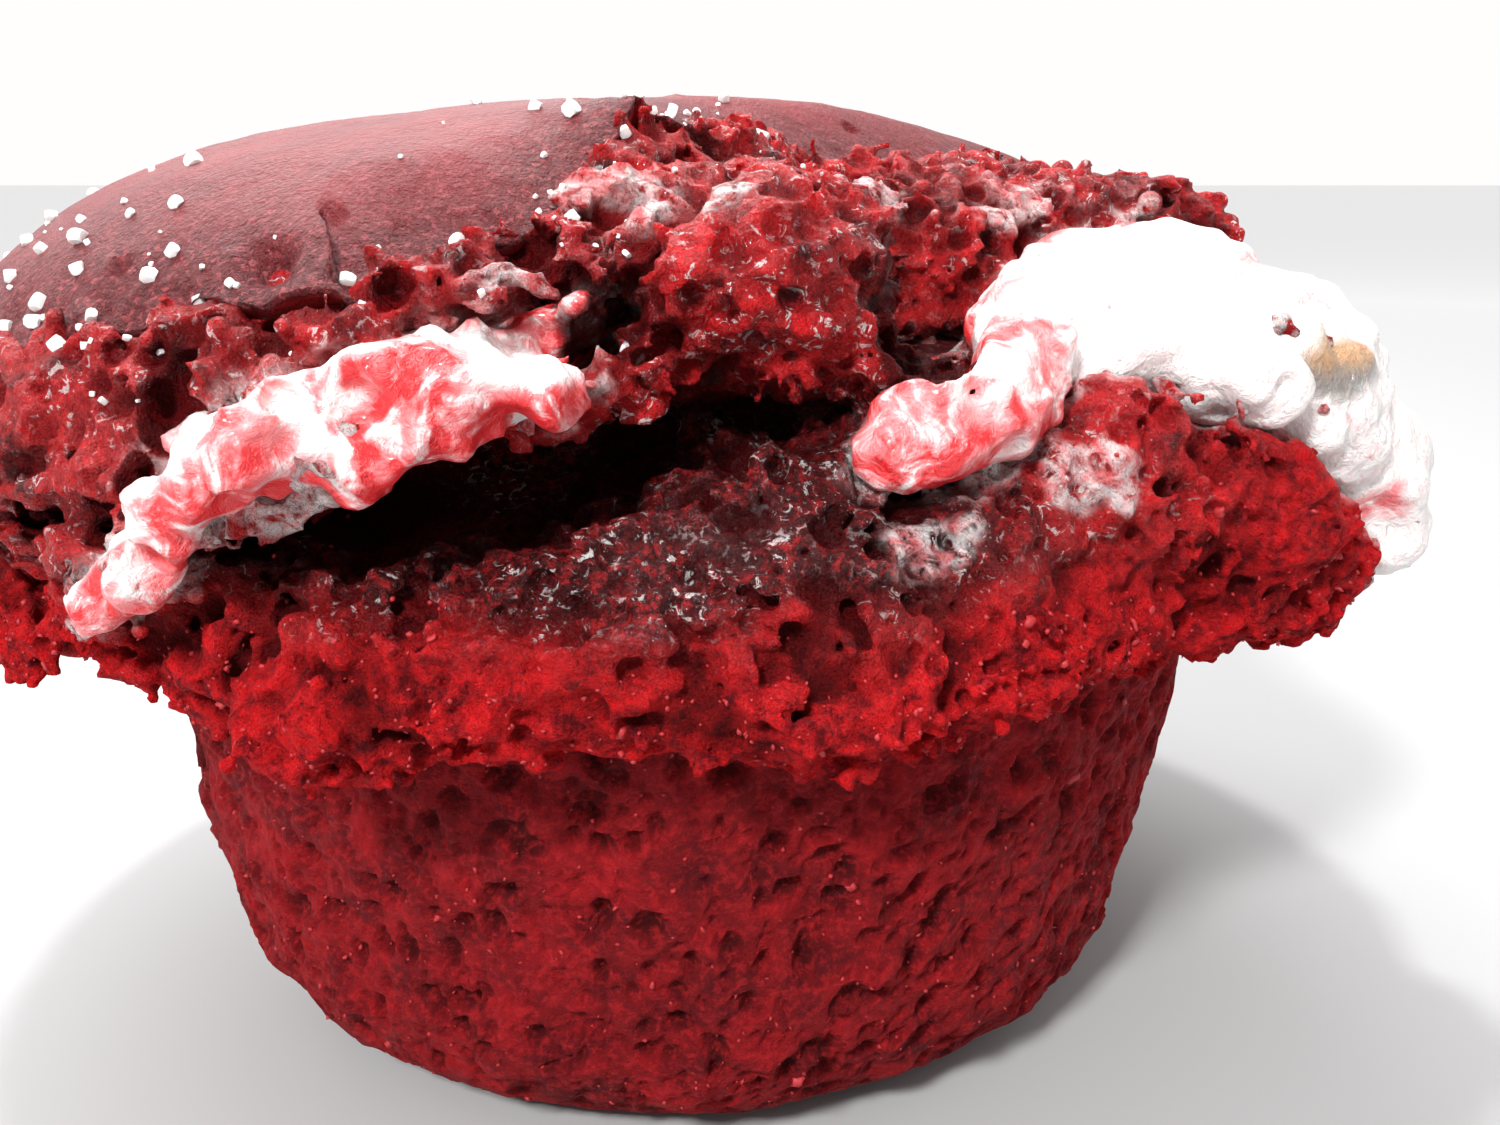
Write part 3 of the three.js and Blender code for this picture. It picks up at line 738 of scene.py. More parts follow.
    def piece(self, name, upper, low, high):
        """One closed piece of crumb with the depth of its pores and crack, its wetness and cream for
        the finish, which paints shade by that depth.
        """
        points, faces = skin_of(self.lattice, self.region(upper, low, high), 0.045)
        depth = np.clip(-self.lattice.sample(self.smooth, points), -1, 2.5)
        # Painted shade: the hollows count as 2 mm deep, so the finish paints them near black.
        depth = np.maximum(depth, 2.0 * hollow_shade(points))
        cream = self.lattice.sample(self.cream, points)
        smear = 1 - ramp(0.1, 1.5, cream + 0.9 * grain(points, 1.6, 41))
        for x, y, z, size in CREAM_BITS:
            far = np.linalg.norm((points - (x, y, z)) * (0.8, 1.0, 1.6), axis=1) / size
            far = far + 0.5 * grain(points, 1.3, 42) + 0.6 * grain(points, 3.0, 43)
            smear = np.maximum(smear, 1 - ramp(0.5, 1.0, far))
        wet = wetness(points)
        dark = wet * (1 - over_split(points)) * (1 - ramp(14, 24, points[:, 0]))
        dark = np.maximum(dark, 0.45 * wet * ramp(-9, -18, points[:, 0]))
        return add_mesh(name, points, faces, {"depth": depth, "wet": wet, "smear": smear, "dark": dark})


def over_split(points):
    """1 over the line between the ledge and the crumb above it, and 0 under it."""
    return ramp(-0.5, 2.5, points[:, 2] - np.interp(points[:, 0], SPLIT[:, 0], SPLIT[:, 1]))


def torn_relief(points):
    """How far the torn crumb is worn back at each point: broad, middling and small lumps, a
    foam of round hollows between sharp ridges, which is the size of noise whose sign is
    dropped, and a fine grain. Over the split it is finer and shallower."""
    flat = points * np.array((1, 1, 1.4), np.float32)
    fine = over_split(points)
    lumps = 0.55 * grain(points, 6.2, 21) + (0.75 - 0.35 * fine) * grain(flat, 2.9, 22)
    lumps += 0.45 * grain(flat, 1.35, 23)
    foam = (0.85 - 0.5 * fine) * np.abs(grain(points, 2.3, 25)) + 0.65 * np.abs(grain(points, 1.15, 26))
    foam += 0.4 * fine * np.abs(grain(points, 0.75, 27))
    dry = 0.3 * grain(points, 0.8, 28) + 0.3 * np.abs(grain(points, 1.1, 29))
    lumps += (1 - wetness(points)) * dry
    return lumps + foam + 0.26 * grain(points, 0.6, 24) - 0.45 + 0.02 * fine


def wetness(points):
    """1 where the crumb is soaked and shiny, falling to 0 on the dry rim of the ledge and out
    on its right end."""
    x, z = points[:, 0], points[:, 2]
    high = ramp(31.5, 36.8, z + 1.3 * grain(points, 3.2, 44) - 0.05 * np.abs(x + 2))
    right = 1 - 0.75 * ramp(20, 32, x) * (1 - ramp(44, 47, z))
    return (high * right).astype(np.float32)


# ------------------------ the cream

# The middle of the toasted spot.
TOAST = np.array((35.6, -21.0, 43.6))
# Where cream deep in the torn crumb is painted as dark as the shade of the hollow it lies in:
# x, y and z of the middle and the three half sizes.
CREAM_IN_SHADE = np.array([
    (11.0, -24.0, 45.8, 4.6, 7.0, 3.4), (11.5, -18.0, 43.0, 4.0, 9.0, 3.6),
    (15.0, -8.0, 43.0, 3.4, 6.0, 2.4), (-0.8, -29.6, 46.6, 4.2, 4.6, 3.0),
])
# Holes in the cream: x, y, z and radius.
CREAM_HOLES = np.array([
    (-10.6, -41.6, 44.6, 1.3), (-9.4, -41.9, 43.4, 1.0), (-20.3, -39.9, 37.6, 1.1),
    (28.9, -22.7, 46.6, 0.5), (-15.6, -41.8, 40.6, 0.9), (-18.2, -40.9, 38.6, 0.8),
])
CREAM_LOW, CREAM_HIGH = (-27.5, -43.4, 28.5), (46.4, 5.0, 52.5)
CREAM_PORE_COUNT = 700
# The middle of the drop of cream on the ledge, which is swollen.
DROP = np.array((9.5, -34.0, 40.8))
# How red the cream is, and the height over which it is clean: values of x, then of the measure.
LEAN = ((-26, -12, 0, 9, 16, 24, 46), (1.05, 1.05, 0.95, 0.7, 0.2, -0.45, -0.7))
CREST = ((-26, -20, -15, -8, 0, 9), (36, 40.4, 43.6, 45.6, 46, 60))


def cream_piece(step):
    """The filling's solid, rounded, swollen a little and lumped by three sizes of noise, with
    its red staining and its toasted spot as numbers on its points."""
    lattice = Lattice(CREAM_LOW, CREAM_HIGH, step)
    values = soften(node_distance("filling", lattice), 0.6 / step) - 0.28
    near = np.flatnonzero(np.abs(values) < 2.3)
    points = lattice.points(near)
    flap = 1 - ramp(-2, 4, points[:, 0])
    lumps = grains(
        points, (0.5 + 0.2 * flap, 3.6, 51), (0.45 + 0.2 * flap, 1.8, 52), (0.2 + 0.2 * flap, 0.8, 53),
    )
    worn = flap * (1.3 * ramp(0.2, 0.55, grain(points, 3.2, 59)) - 0.1)
    values.ravel()[near] -= 0.8 * bell(length_from(points, DROP), 4.0)
    values.ravel()[near] += lumps + 0.5 * np.abs(grain(points, 2.4, 54)) + worn - 0.15
    draw = np.random.default_rng(19)
    shell = np.flatnonzero(np.abs(values.ravel()[near]) < 0.25)
    places = points[draw.choice(shell, CREAM_PORE_COUNT, replace=False)]
    radii = (0.2 + 0.75 * draw.random(len(places)) ** 3) * np.where(places[:, 0] < 2, 1.2, 0.7)
    stamp_balls(lattice, values, places, radii)
    stamp_balls(lattice, values, CREAM_HOLES[:, :3], CREAM_HOLES[:, 3])
    values = np.maximum(values, hollow_depth(lattice))
    values = np.maximum(soften(values, 0.6), box_distance(lattice))
    points, faces = skin_of(lattice, values, 0.035)
    return add_mesh("cream", points, faces, cream_stains(points))


def cream_stains(points):
    """How red and how toasted the cream is at each point, and where the toasted spot shows its own
    colour rather than a painted grey shade: red by where it lies, broken up by broad noise and by
    streaks where finer noise is near nought. Deep in the hollows the stain goes past 1, where the
    finish paints shade."""
    x, _, z = points.T
    broad = grains(points, (1, 5.0, 55), (0.5, 2.2, 56), (0.25, 0.9, 57))
    crest = np.interp(x, *CREST) + 1.3 * grain(points, 2.2, 65)
    lean = np.interp(x, *LEAN) - 1.1 * ramp(-1.4, 0.7, z - crest)
    streak = 0.5 * ramp(0.13, 0.0, np.abs(grain(points, 4.4, 60)))
    stain = ramp(-0.35, 0.9, broad + lean + streak * (grain(points, 7.0, 64) > 0.1))
    # Painted shade: cream deep in a hollow gets a stain past 1, which the finish paints near black.
    for place in CREAM_IN_SHADE:
        far = length_from(points, place[:3], place[3:])
        stain = np.maximum(stain, 1.6 * (1 - ramp(0.8, 1.2, far)))
    far = length_from(points, TOAST, (4.0, 3.4, 2.0)) + 0.3 * grain(points, 1.6, 58)
    # 1 on the top of the toasted spot, 0 on its underside, where a grey shade is painted.
    toast_lit = ramp(-0.9, 0.5, z - TOAST[2] + 0.6 * grain(points, 1.2, 66))
    return {"stain": stain, "toast": 1 - ramp(0.6, 1.15, far), "toast_lit": toast_lit}


# ------------------------ sugar and crumbs


def mesh_parts(shape):
    """The points and the faces of a bmesh, which is then freed."""
    shape.verts.index_update()
    points = np.array([v.co[:] for v in shape.verts])
    faces = np.array([[v.index for v in f.verts] for f in shape.faces])
    shape.free()
    return points, faces


def chipped_block():
    """A block about one across with its corners cut: the hull of three points for each corner,
    each drawn in along one axis, as triangles."""
    shape = bmesh.new()
    for x in (-0.5, 0.5):
        for y in (-0.5, 0.5):
            for z in (-0.5, 0.5):
                for point in ((x * 0.45, y, z), (x, y * 0.45, z), (x, y, z * 0.45)):
                    shape.verts.new(point)
    bmesh.ops.convex_hull(shape, input=shape.verts)
    bmesh.ops.triangulate(shape, faces=shape.faces[:])
    bmesh.ops.recalc_face_normals(shape, faces=shape.faces[:])
    return mesh_parts(shape)


def uneven_ball(detail):
    """An uneven ball about one across: an icosphere moved in and out by noise."""
    shape = bmesh.new()
    bmesh.ops.create_icosphere(shape, subdivisions=detail, radius=0.5)
    points, faces = mesh_parts(shape)
    return points * (1 + 0.45 * grain(points, 0.4, 61) + 0.25 * grain(points, 0.22, 62))[:, None], faces


def random_turns(draw, count):
    """Rotation matrices from random quaternions, each divided by its length."""
    turns = draw.normal(size=(count, 4))
    w, x, y, z = (turns / np.linalg.norm(turns, axis=1, keepdims=True)).T
    return np.stack([
        np.stack([1 - 2 * (y * y + z * z), 2 * (x * y - z * w), 2 * (x * z + y * w)], -1),
        np.stack([2 * (x * y + z * w), 1 - 2 * (x * x + z * z), 2 * (y * z - x * w)], -1),
        np.stack([2 * (x * z - y * w), 2 * (y * z + x * w), 1 - 2 * (x * x + y * y)], -1),
    ], 1)


def scatter(name, shape, centres, sizes, draw, unevenness):
    """Copies of one small shape at these centres, each turned and stretched at random."""
    points, faces = shape
    count = len(centres)
    stretch = 1 + unevenness * draw.uniform(-1, 1, (count, 1, 3))
    local = points[None] * stretch * sizes[:, None, None]
    local = np.einsum("nij,npj->npi", random_turns(draw, count), local)
    everything = (local + centres[:, None]).reshape(-1, 3)
    links = (faces[None] + np.arange(count)[:, None, None] * len(points)).reshape(-1, 3)
    return add_mesh(name, np.clip(everything, BOX_LOW + BOX_MARGIN, BOX_HIGH - BOX_MARGIN), links, {})


def surface_of(names):
    """Middle, facing and area of every triangle of these pieces, in mm."""
    meshes = [bpy.data.objects[name].data.polygons for name in names]
    middles, normals, areas = (
        np.concatenate([read(polygons, key, width) for polygons in meshes])
        for key, width in (("center", 3), ("normal", 3), ("area", 1))
    )
    return middles / MM, normals, areas[:, 0]


# ------------------------ finishes


class Nodes:
    """The nodes of a material or a world, and short calls that add to them."""

    def __init__(self, owner):
        owner.use_nodes = True
        self.owner, self.tree = owner, owner.node_tree
        self.place = self.put("ShaderNodeTexCoord").outputs

    def put(self, kind, inputs=(), **settings):
        """A node with its settings and its inputs."""
        node = self.tree.nodes.new(kind)
        for key, value in settings.items():
            setattr(node, key, value)
        self.feed(node, dict(inputs))
        return node

    def feed(self, node, inputs):
        """Gives a node's inputs a number or a colour each, or links them to an output."""
        for key, value in inputs.items():
            if isinstance(value, bpy.types.NodeSocket):
                self.tree.links.new(value, node.inputs[key])
            else:
                node.inputs[key].default_value = value

    def spread(self, value, low, high, start=0.0, end=1.0, curve="LINEAR"):
        """value between low and high stretched to lie between start and end."""
        return self.put("ShaderNodeMapRange", {
            "Value": value, "From Min": low, "From Max": high, "To Min": start, "To Max": end,
        }, interpolation_type=curve).outputs["Result"]


class Finish(Nodes):
    """A material and short calls for its nodes."""

    def __init__(self, name):
        super().__init__(bpy.data.materials.new(name))

    def noise(self, size_mm, detail=2.0, rough=0.5, twist=0.0):
        """Soft noise whose features are about this size."""
        return self.put("ShaderNodeTexNoise", {
            "Vector": self.place["Object"], "Scale": 1000.0 / size_mm, "Detail": detail,
            "Roughness": rough, "Distortion": twist,
        }).outputs["Fac"]

    def number(self, name):
        """A number kept on the piece's points."""
        return self.put("ShaderNodeAttribute", attribute_name=name).outputs["Fac"]

    def maths(self, operation, first, second):
        """One number worked out from two."""
        return self.put("ShaderNodeMath", {0: first, 1: second}, operation=operation).outputs[0]

    def times(self, first, second):
        return self.maths("MULTIPLY", first, second)

    def blend(self, share, first, second):
        """The first colour with this share of the second."""
        inputs = {"Factor": share, 6: first, 7: second}
        return self.put("ShaderNodeMix", inputs, data_type="RGBA").outputs[2]

    def bump(self, height, depth, strength=1.0, after=None):
        """A normal tilted by this height, whose full range stands for this depth in metres."""
        inputs = {"Height": height, "Distance": depth, "Strength": strength}
        if after is not None:
            inputs["Normal"] = after
        return self.put("ShaderNodeBump", inputs).outputs["Normal"]

    def set(self, **values):
        """Sets or links the shader's own inputs, where underscores stand for spaces."""
        shader = self.tree.nodes["Principled BSDF"]
        self.feed(shader, {key.replace("_", " "): value for key, value in values.items()})
        return self.owner


def colour(name):
    """One of the user's colours, with full strength."""
    return (*getattr(bpy.context.scene.cupcake_colours, name), 1.0)


def crumb_finish():
    """Wet torn crumb: crimson, darker in its pores, crack and hollows by painted shade, with painted
    highlights and white specks, partly cream and partly painted glints, on its ridges, broken
    gloss, and pink-white cream on the ridges where it is smeared."""
    f = Finish("wet_crumb")
    depth, wet, smear = f.number("depth"), f.number("wet"), f.number("smear")
    pits = f.spread(depth, 0.0, 1.2)
    patches = f.spread(f.noise(2.6, 3, 0.6), 0.35, 0.68)
    patches = f.maths("MAXIMUM", patches, f.number("dark"))
    soaked = f.blend(patches, colour("crumb"), colour("crumb_dark"))
    dry = f.blend(f.spread(f.noise(1.1, 4, 0.7), 0.44, 0.64), colour("rim"), colour("sponge_dark"))
    tone = f.blend(wet, dry, soaked)
    # Painted shade: the deeper a point lies under the smoothed surface, in a pore, the crack or a
    # hollow, the more it takes of the pore shade colour.
    tone = f.blend(f.times(pits, 0.88), tone, colour("pore_shade"))
    # Painted highlights: pale specks on the ridges, fading out in the pores.
    speck = f.spread(f.noise(0.5, 3, 0.7), 0.48, 0.62)
    speck = f.times(speck, f.spread(depth, 0.6, -0.2, 0.0, 0.55))
    tone = f.blend(speck, tone, colour("crumb_highlight"))
    ridges = f.spread(depth, 0.9, -0.2)
    milk = f.blend(f.spread(f.noise(1.5, 2, 0.6, 0.6), 0.42, 0.62), colour("cream"), colour("pink"))
    lace = f.times(smear, f.spread(f.noise(0.9, 3, 0.65, 0.5), 0.37, 0.52))
    tone = f.blend(f.times(lace, ridges), tone, milk)
    # White specks on the wet ridges: partly flecks of cream, partly painted glints.
    fleck_and_glint = f.times(f.spread(f.noise(0.6, 3, 0.7, 0.8), 0.58, 0.635), ridges)
    fleck_and_glint = f.times(fleck_and_glint, f.spread(f.noise(4.5, 2, 0.5), 0.42, 0.56, 0.15, 1.0))
    tone = f.blend(f.times(fleck_and_glint, f.spread(wet, 0.4, 1.0, 0.0, 0.85)), tone, colour("cream"))
    normal = f.bump(f.noise(0.55, 5, 0.75, 0.3), 1.0 * MM)
    normal = f.bump(f.noise(0.2, 2, 0.6), 0.25 * MM, 1.0, normal)
    rough = f.spread(wet, 0.0, 1.0, 0.8, 0.4)
    return f.set(
        Base_Color=tone, Roughness=rough, Normal=normal, Subsurface_Weight=0.4,
        Subsurface_Radius=(1.0, 0.1, 0.08), Subsurface_Scale=0.0009,
        Coat_Weight=f.times(wet, f.spread(depth, 1.2, 0.3, 0.04, 0.55)), Coat_Roughness=0.06,
        Coat_IOR=1.45, Coat_Normal=normal, Specular_IOR_Level=0.1,
    )


def cup_finish():
    """Dry open sponge: deep red, mottled, with painted shade that makes the bottom of its pores almost
    black, and lighter specks in the painted highlight colour.
    """
    f = Finish("sponge")
    depth = f.number("depth")
    tone = f.blend(f.spread(f.noise(3.4, 4, 0.62), 0.36, 0.66), colour("sponge"), colour("sponge_dark"))
    # Painted shade at the bottom of the pores.
    tone = f.blend(f.times(f.spread(depth, 0.05, 0.75), 0.85), tone, colour("pore_shade"))
    # Painted highlights: lighter specks at random.
    speck = f.spread(f.noise(0.5, 3, 0.7), 0.48, 0.64)
    tone = f.blend(f.times(speck, 0.4), tone, colour("crumb_highlight"))
    normal = f.bump(f.noise(0.55, 5, 0.75), 1.1 * MM)
    return f.set(
        Base_Color=tone, Roughness=0.8, Normal=normal, Subsurface_Weight=0.3,
        Subsurface_Radius=(1.0, 0.12, 0.09), Subsurface_Scale=0.0009, Specular_IOR_Level=0.15,
    )


def crust_finish():
    """Smooth baked skin: dusty red with a pale sheen and fine pale specks, partly painted
    highlights, darker and rougher towards the torn edge."""
    f = Finish("crust")
    band = f.number("band")
    tone = f.blend(f.spread(f.noise(9.0, 3, 0.6), 0.35, 0.7), colour("crust"), colour("crust_dark"))
    edge = f.times(band, f.spread(f.noise(2.2, 3, 0.6), 0.3, 0.6, 0.45, 1.0))
    tone = f.blend(edge, tone, colour("crust_edge"))
    # Pale specks, more of them towards the torn edge: partly the skin's dusty grain, partly painted
    # highlights.
    speck = f.spread(f.noise(0.4, 3, 0.75), 0.52, 0.62)
    tone = f.blend(f.times(speck, f.spread(band, 0.0, 1.0, 0.34, 0.75)), tone, colour("crust_speck_and_glint"))
    tone = f.blend(f.number("torn"), tone, colour("crumb"))
    normal = f.bump(f.noise(0.7, 5, 0.75), f.spread(band, 0.0, 1.0, 0.4 * MM, 1.0 * MM))
    normal = f.bump(f.noise(0.22, 2, 0.6), 0.16 * MM, 1.0, normal)
    return f.set(
        Base_Color=tone, Roughness=0.4, Normal=normal, Subsurface_Weight=0.2,
        Subsurface_Radius=(1.0, 0.2, 0.14), Subsurface_Scale=0.0009, Sheen_Weight=0.05,
        Sheen_Roughness=0.4, Sheen_Tint=(1.0, 0.66, 0.68, 1.0), Specular_IOR_Level=0.24,
    )


def cream_finish():
    """Marbled cream: white, drawn through with pink and with crumb-red streaks, painted shade deep
    in the hollows, one toasted spot with a painted grey shade on its underside, and a soft wet shine."""
    f = Finish("cream")
    stain, toast = f.number("stain"), f.number("toast")
    veins = f.noise(2.4, 4, 0.6, 1.4)
    amount = f.times(stain, f.spread(veins, 0.34, 0.56))
    tone = f.blend(f.spread(amount, 0.05, 0.4), colour("cream"), colour("pink"))
    tone = f.blend(f.spread(amount, 0.4, 0.85), tone, colour("stain"))
    # Painted shade on the cream deep in the hollows, where its stain goes past 1.
    tone = f.blend(f.spread(stain, 1.05, 1.5), tone, colour("pore_shade"))
    # Painted shade: the toasted spot turns grey on its underside.
    toast_and_shade = f.blend(f.number("toast_lit"), colour("toast_shade"), colour("toast"))
    tone = f.blend(f.times(toast, 0.9), tone, toast_and_shade)
    normal = f.bump(f.noise(0.8, 4, 0.65, 0.5), 0.5 * MM)
    return f.set(
        Base_Color=tone, Roughness=0.38, Normal=normal, Subsurface_Weight=0.4,
        Subsurface_Radius=(1.0, 0.4, 0.36), Subsurface_Scale=0.001, Coat_Weight=0.3,
        Coat_Roughness=0.15,
    )


def sugar_finish():
    """Clear white crystals, frosted on their faces."""
    f = Finish("sugar")
    tone = f.blend(f.spread(f.noise(0.6, 2, 0.5), 0.35, 0.65), colour("sugar"), (0.86, 0.82, 0.8, 1))
    normal = f.bump(f.noise(0.3, 2, 0.6), 0.04 * MM, 0.5)
    return f.set(
        Base_Color=tone, Roughness=0.25, Normal=normal, Transmission_Weight=0.12, IOR=1.54,
        Subsurface_Weight=0.5, Subsurface_Radius=(1, 0.9, 0.85), Subsurface_Scale=0.0008,
    )


def floor_finish():
    """Plain matt white for the sheet under the cake, which glows softly further out so that it
    runs into the white behind it."""
    f = Finish("floor")
    far = f.put("ShaderNodeVectorMath", {0: f.place["Object"]}, operation="LENGTH").outputs["Value"]
    glow = f.spread(far, 0.1, 0.6, 0.0, 0.42)
    return f.set(
        Base_Color=(0.42, 0.42, 0.423, 1), Roughness=0.9, Specular_IOR_Level=0.1,
        Emission_Color=(1, 1, 1, 1), Emission_Strength=glow,
    )


# ------------------------ settings and operators


def tint(name, text, red, green, blue):
    """A colour that the user can change."""
    return bpy.props.FloatVectorProperty(
        name=name, description=text, default=(red, green, blue), min=0, max=1, size=3, subtype="COLOR",
    )


def length(name, text, mm):
    """A length that the user can change, given here in mm."""
    return bpy.props.FloatProperty(
        name=name, description=text, default=mm * MM, min=0.0001, unit="LENGTH", subtype="DISTANCE",
    )


class CupcakeSizes(bpy.types.PropertyGroup):
    base_radius: length("Base radius", "Radius of the cup's flat base", 20)
    base_fillet: length("Base fillet", "Radius of the round between base and wall", 11)
    cup_radius: length("Cup radius", "Radius of the cup under the crown", 34.5)
    cup_height: length("Cup height", "Height at which the crown begins", 29)
    crumb_step: length("Crumb step", "Spacing of the points the torn crumb is worked out on", 0.22)
    cream_step: length("Cream step", "Spacing of the points the cream is worked out on", 0.27)


class CupcakeColours(bpy.types.PropertyGroup):
    sponge: tint("Sponge", "Dry crumb of the cup and rim", 0.34, 0.006, 0.01)
    sponge_dark: tint("Dark sponge", "Darker patches of dry crumb", 0.12, 0.003, 0.006)
    crumb: tint("Wet crumb", "Soaked torn crumb", 0.6, 0.009, 0.012)
    crumb_dark: tint("Dark crumb", "Darker patches of soaked crumb", 0.048, 0.001, 0.0016)
    # A painted highlight colour for the crumb's lit edges and specks.
    crumb_highlight: tint("Light crumb", "Lit edges of the crumb", 0.6, 0.02, 0.025)
    # A painted shade: the near black that stands for shade in the pores, the crack and the hollows.
    pore_shade: tint("Pore", "Bottom of the pores", 0.045, 0.0005, 0.001)
    rim: tint("Rim", "Dry crumb of the ledge and its rim", 0.56, 0.008, 0.011)
    crust: tint("Crust", "Baked skin of the crown", 0.2, 0.009, 0.013)
    crust_dark: tint("Dark crust", "Darker patches of the skin", 0.11, 0.006, 0.009)
    crust_edge: tint("Crust edge", "Skin close to the torn edge", 0.085, 0.006, 0.008)
    # Pale specks: partly the skin's dusty grain, partly painted highlights.
    crust_speck_and_glint: tint("Pale crust", "Pale specks on the skin", 0.4, 0.075, 0.085)
    cream: tint("Cream", "Clean cream", 0.84, 0.78, 0.77)
    pink: tint("Pink cream", "Cream lightly stained by the crumb", 0.82, 0.24, 0.25)
    stain: tint("Stained cream", "Cream soaked with red", 0.7, 0.022, 0.028)
    toast: tint("Toasted cream", "Browned spot on the cream", 0.4, 0.2, 0.06)
    # A painted shade for the underside of the toasted spot.
    toast_shade: tint("Grey cream", "Greyish underside of the browned spot", 0.2, 0.175, 0.16)
    sugar: tint("Sugar", "Sugar crystals", 0.92, 0.9, 0.89)


def finish_piece(obj, material, slot, *nodes):
    """Gives a piece its material and its body, and hides the nodes it stands for. Its slot is not used.
    """
    obj.data.materials.append(material)
    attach(obj, "root")
    if nodes:
        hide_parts(*nodes)


# Columns round the cup and the crust, and evenly spaced rows on the part of each that shows.
CUP_COLUMNS, CUP_ROWS = 720, 112
CRUST_COLUMNS, CRUST_ROWS = 700, 108
# The pieces of the torn crumb: over the split or under it, and between which values of x.
CRUMB_PIECES = {
    "ledge_left": (False, -60, -8), "ledge_middle": (False, -8, 12), "ledge_right": (False, 12, 23),
    "ledge_end": (False, 23, 34), "ledge_tip": (False, 34, 60), "crumb_left": (True, -60, -4),
    "crumb_middle": (True, -4, 13), "crumb_right": (True, 13, 60),
}
LARGE_CRYSTALS, SMALL_CRYSTALS = 80, 180
# The crumbs that cling: how many, smallest and largest size, and how finely each is divided.
CLINGING = {"clinging_crumbs": (220, 0.3, 0.65, 2), "crumb_grains": (6000, 0.14, 0.3, 1)}


def lattice_step(wanted):
    """The spacing of a lattice in mm."""
    return round(wanted / MM, 3)


class CUPCAKE_OT_cup(bpy.types.Operator):
    """Builds the cup: the plain lower body of open sponge"""
    bl_idname = "cupcake.cup"
    bl_label = "Cup"

    def execute(self, context):
        grid, pores = cup_grid(context.scene.cupcake_sizes, CUP_COLUMNS, CUP_ROWS)
        obj = add_mesh("cup", closed(grid), closed_faces(*grid.shape[:2]), {"depth": closed(pores)})
        finish_piece(obj, cup_finish(), "sponge", "cake")
        return {"FINISHED"}


class CUPCAKE_OT_crust(bpy.types.Operator):
    """Builds the crust: the smooth baked skin of the crown, open at its torn edge"""
    bl_idname = "cupcake.crust"
    bl_label = "Crust"

    def execute(self, context):
        grid, torn, band = crust_grid(CRUST_COLUMNS, CRUST_ROWS)
        row = np.arange(len(grid))[:, None]
        shown = ramp(CRUST_ROWS + 0.5, CRUST_ROWS + 2.5, row) * torn
        faces = closed_faces(*grid.shape[:2])[:, ::-1]
        obj = add_mesh("crust", closed(grid), faces, {"torn": closed(shown), "band": closed(band)})
        finish_piece(obj, crust_finish(), "sponge", "cake")
        return {"FINISHED"}


class CUPCAKE_OT_crumb(bpy.types.Operator):
    """Builds the torn crumb: the ledge below the crack and the crumb above it"""
    bl_idname = "cupcake.crumb"
    bl_label = "Torn crumb"

    def execute(self, context):
        crumb = Crumb(lattice_step(context.scene.cupcake_sizes.crumb_step))
        finish = crumb_finish()
        for name, region in CRUMB_PIECES.items():
            finish_piece(crumb.piece(name, *region), finish, "sponge", "cake")
        return {"FINISHED"}


class CUPCAKE_OT_cream(bpy.types.Operator):
    """Builds the cream filling where it shows"""
    bl_idname = "cupcake.cream"
    bl_label = "Cream"

    def execute(self, context):
        obj = cream_piece(lattice_step(context.scene.cupcake_sizes.cream_step))
        finish_piece(obj, cream_finish(), "cream", "filling")
        return {"FINISHED"}


class CUPCAKE_OT_sugar(bpy.types.Operator):
    """Scatters the sugar crystals over the crust and the torn edge"""
    bl_idname = "cupcake.sugar"
    bl_label = "Sugar"

    def execute(self, context):
        draw = np.random.default_rng(8)
        middles, normals, areas = surface_of(("crust", "crumb_left", "crumb_middle", "crumb_right"))
        x, y, z = middles.T
        open_top = (normals[:, 2] > 0.35) & (z > 43.5) & (x < 22)
        weight = areas * open_top * (0.05 + bell(torn_edge(x, y)[0], 6.0) * (x < 6))
        count = LARGE_CRYSTALS + SMALL_CRYSTALS
        pick = draw.choice(len(middles), count, replace=False, p=weight / weight.sum())
        sizes = np.concatenate([
            draw.uniform(0.4, 0.75, LARGE_CRYSTALS), draw.uniform(0.14, 0.34, SMALL_CRYSTALS),
        ])
        centres = middles[pick] + normals[pick] * sizes[:, None] * 0.22
        obj = scatter("sugar", chipped_block(), centres, sizes, draw, 0.35)
        obj.data.polygons.foreach_set("use_smooth", np.zeros(len(obj.data.polygons), bool))
        finish_piece(obj, sugar_finish(), "sugar", "cake")
        return {"FINISHED"}


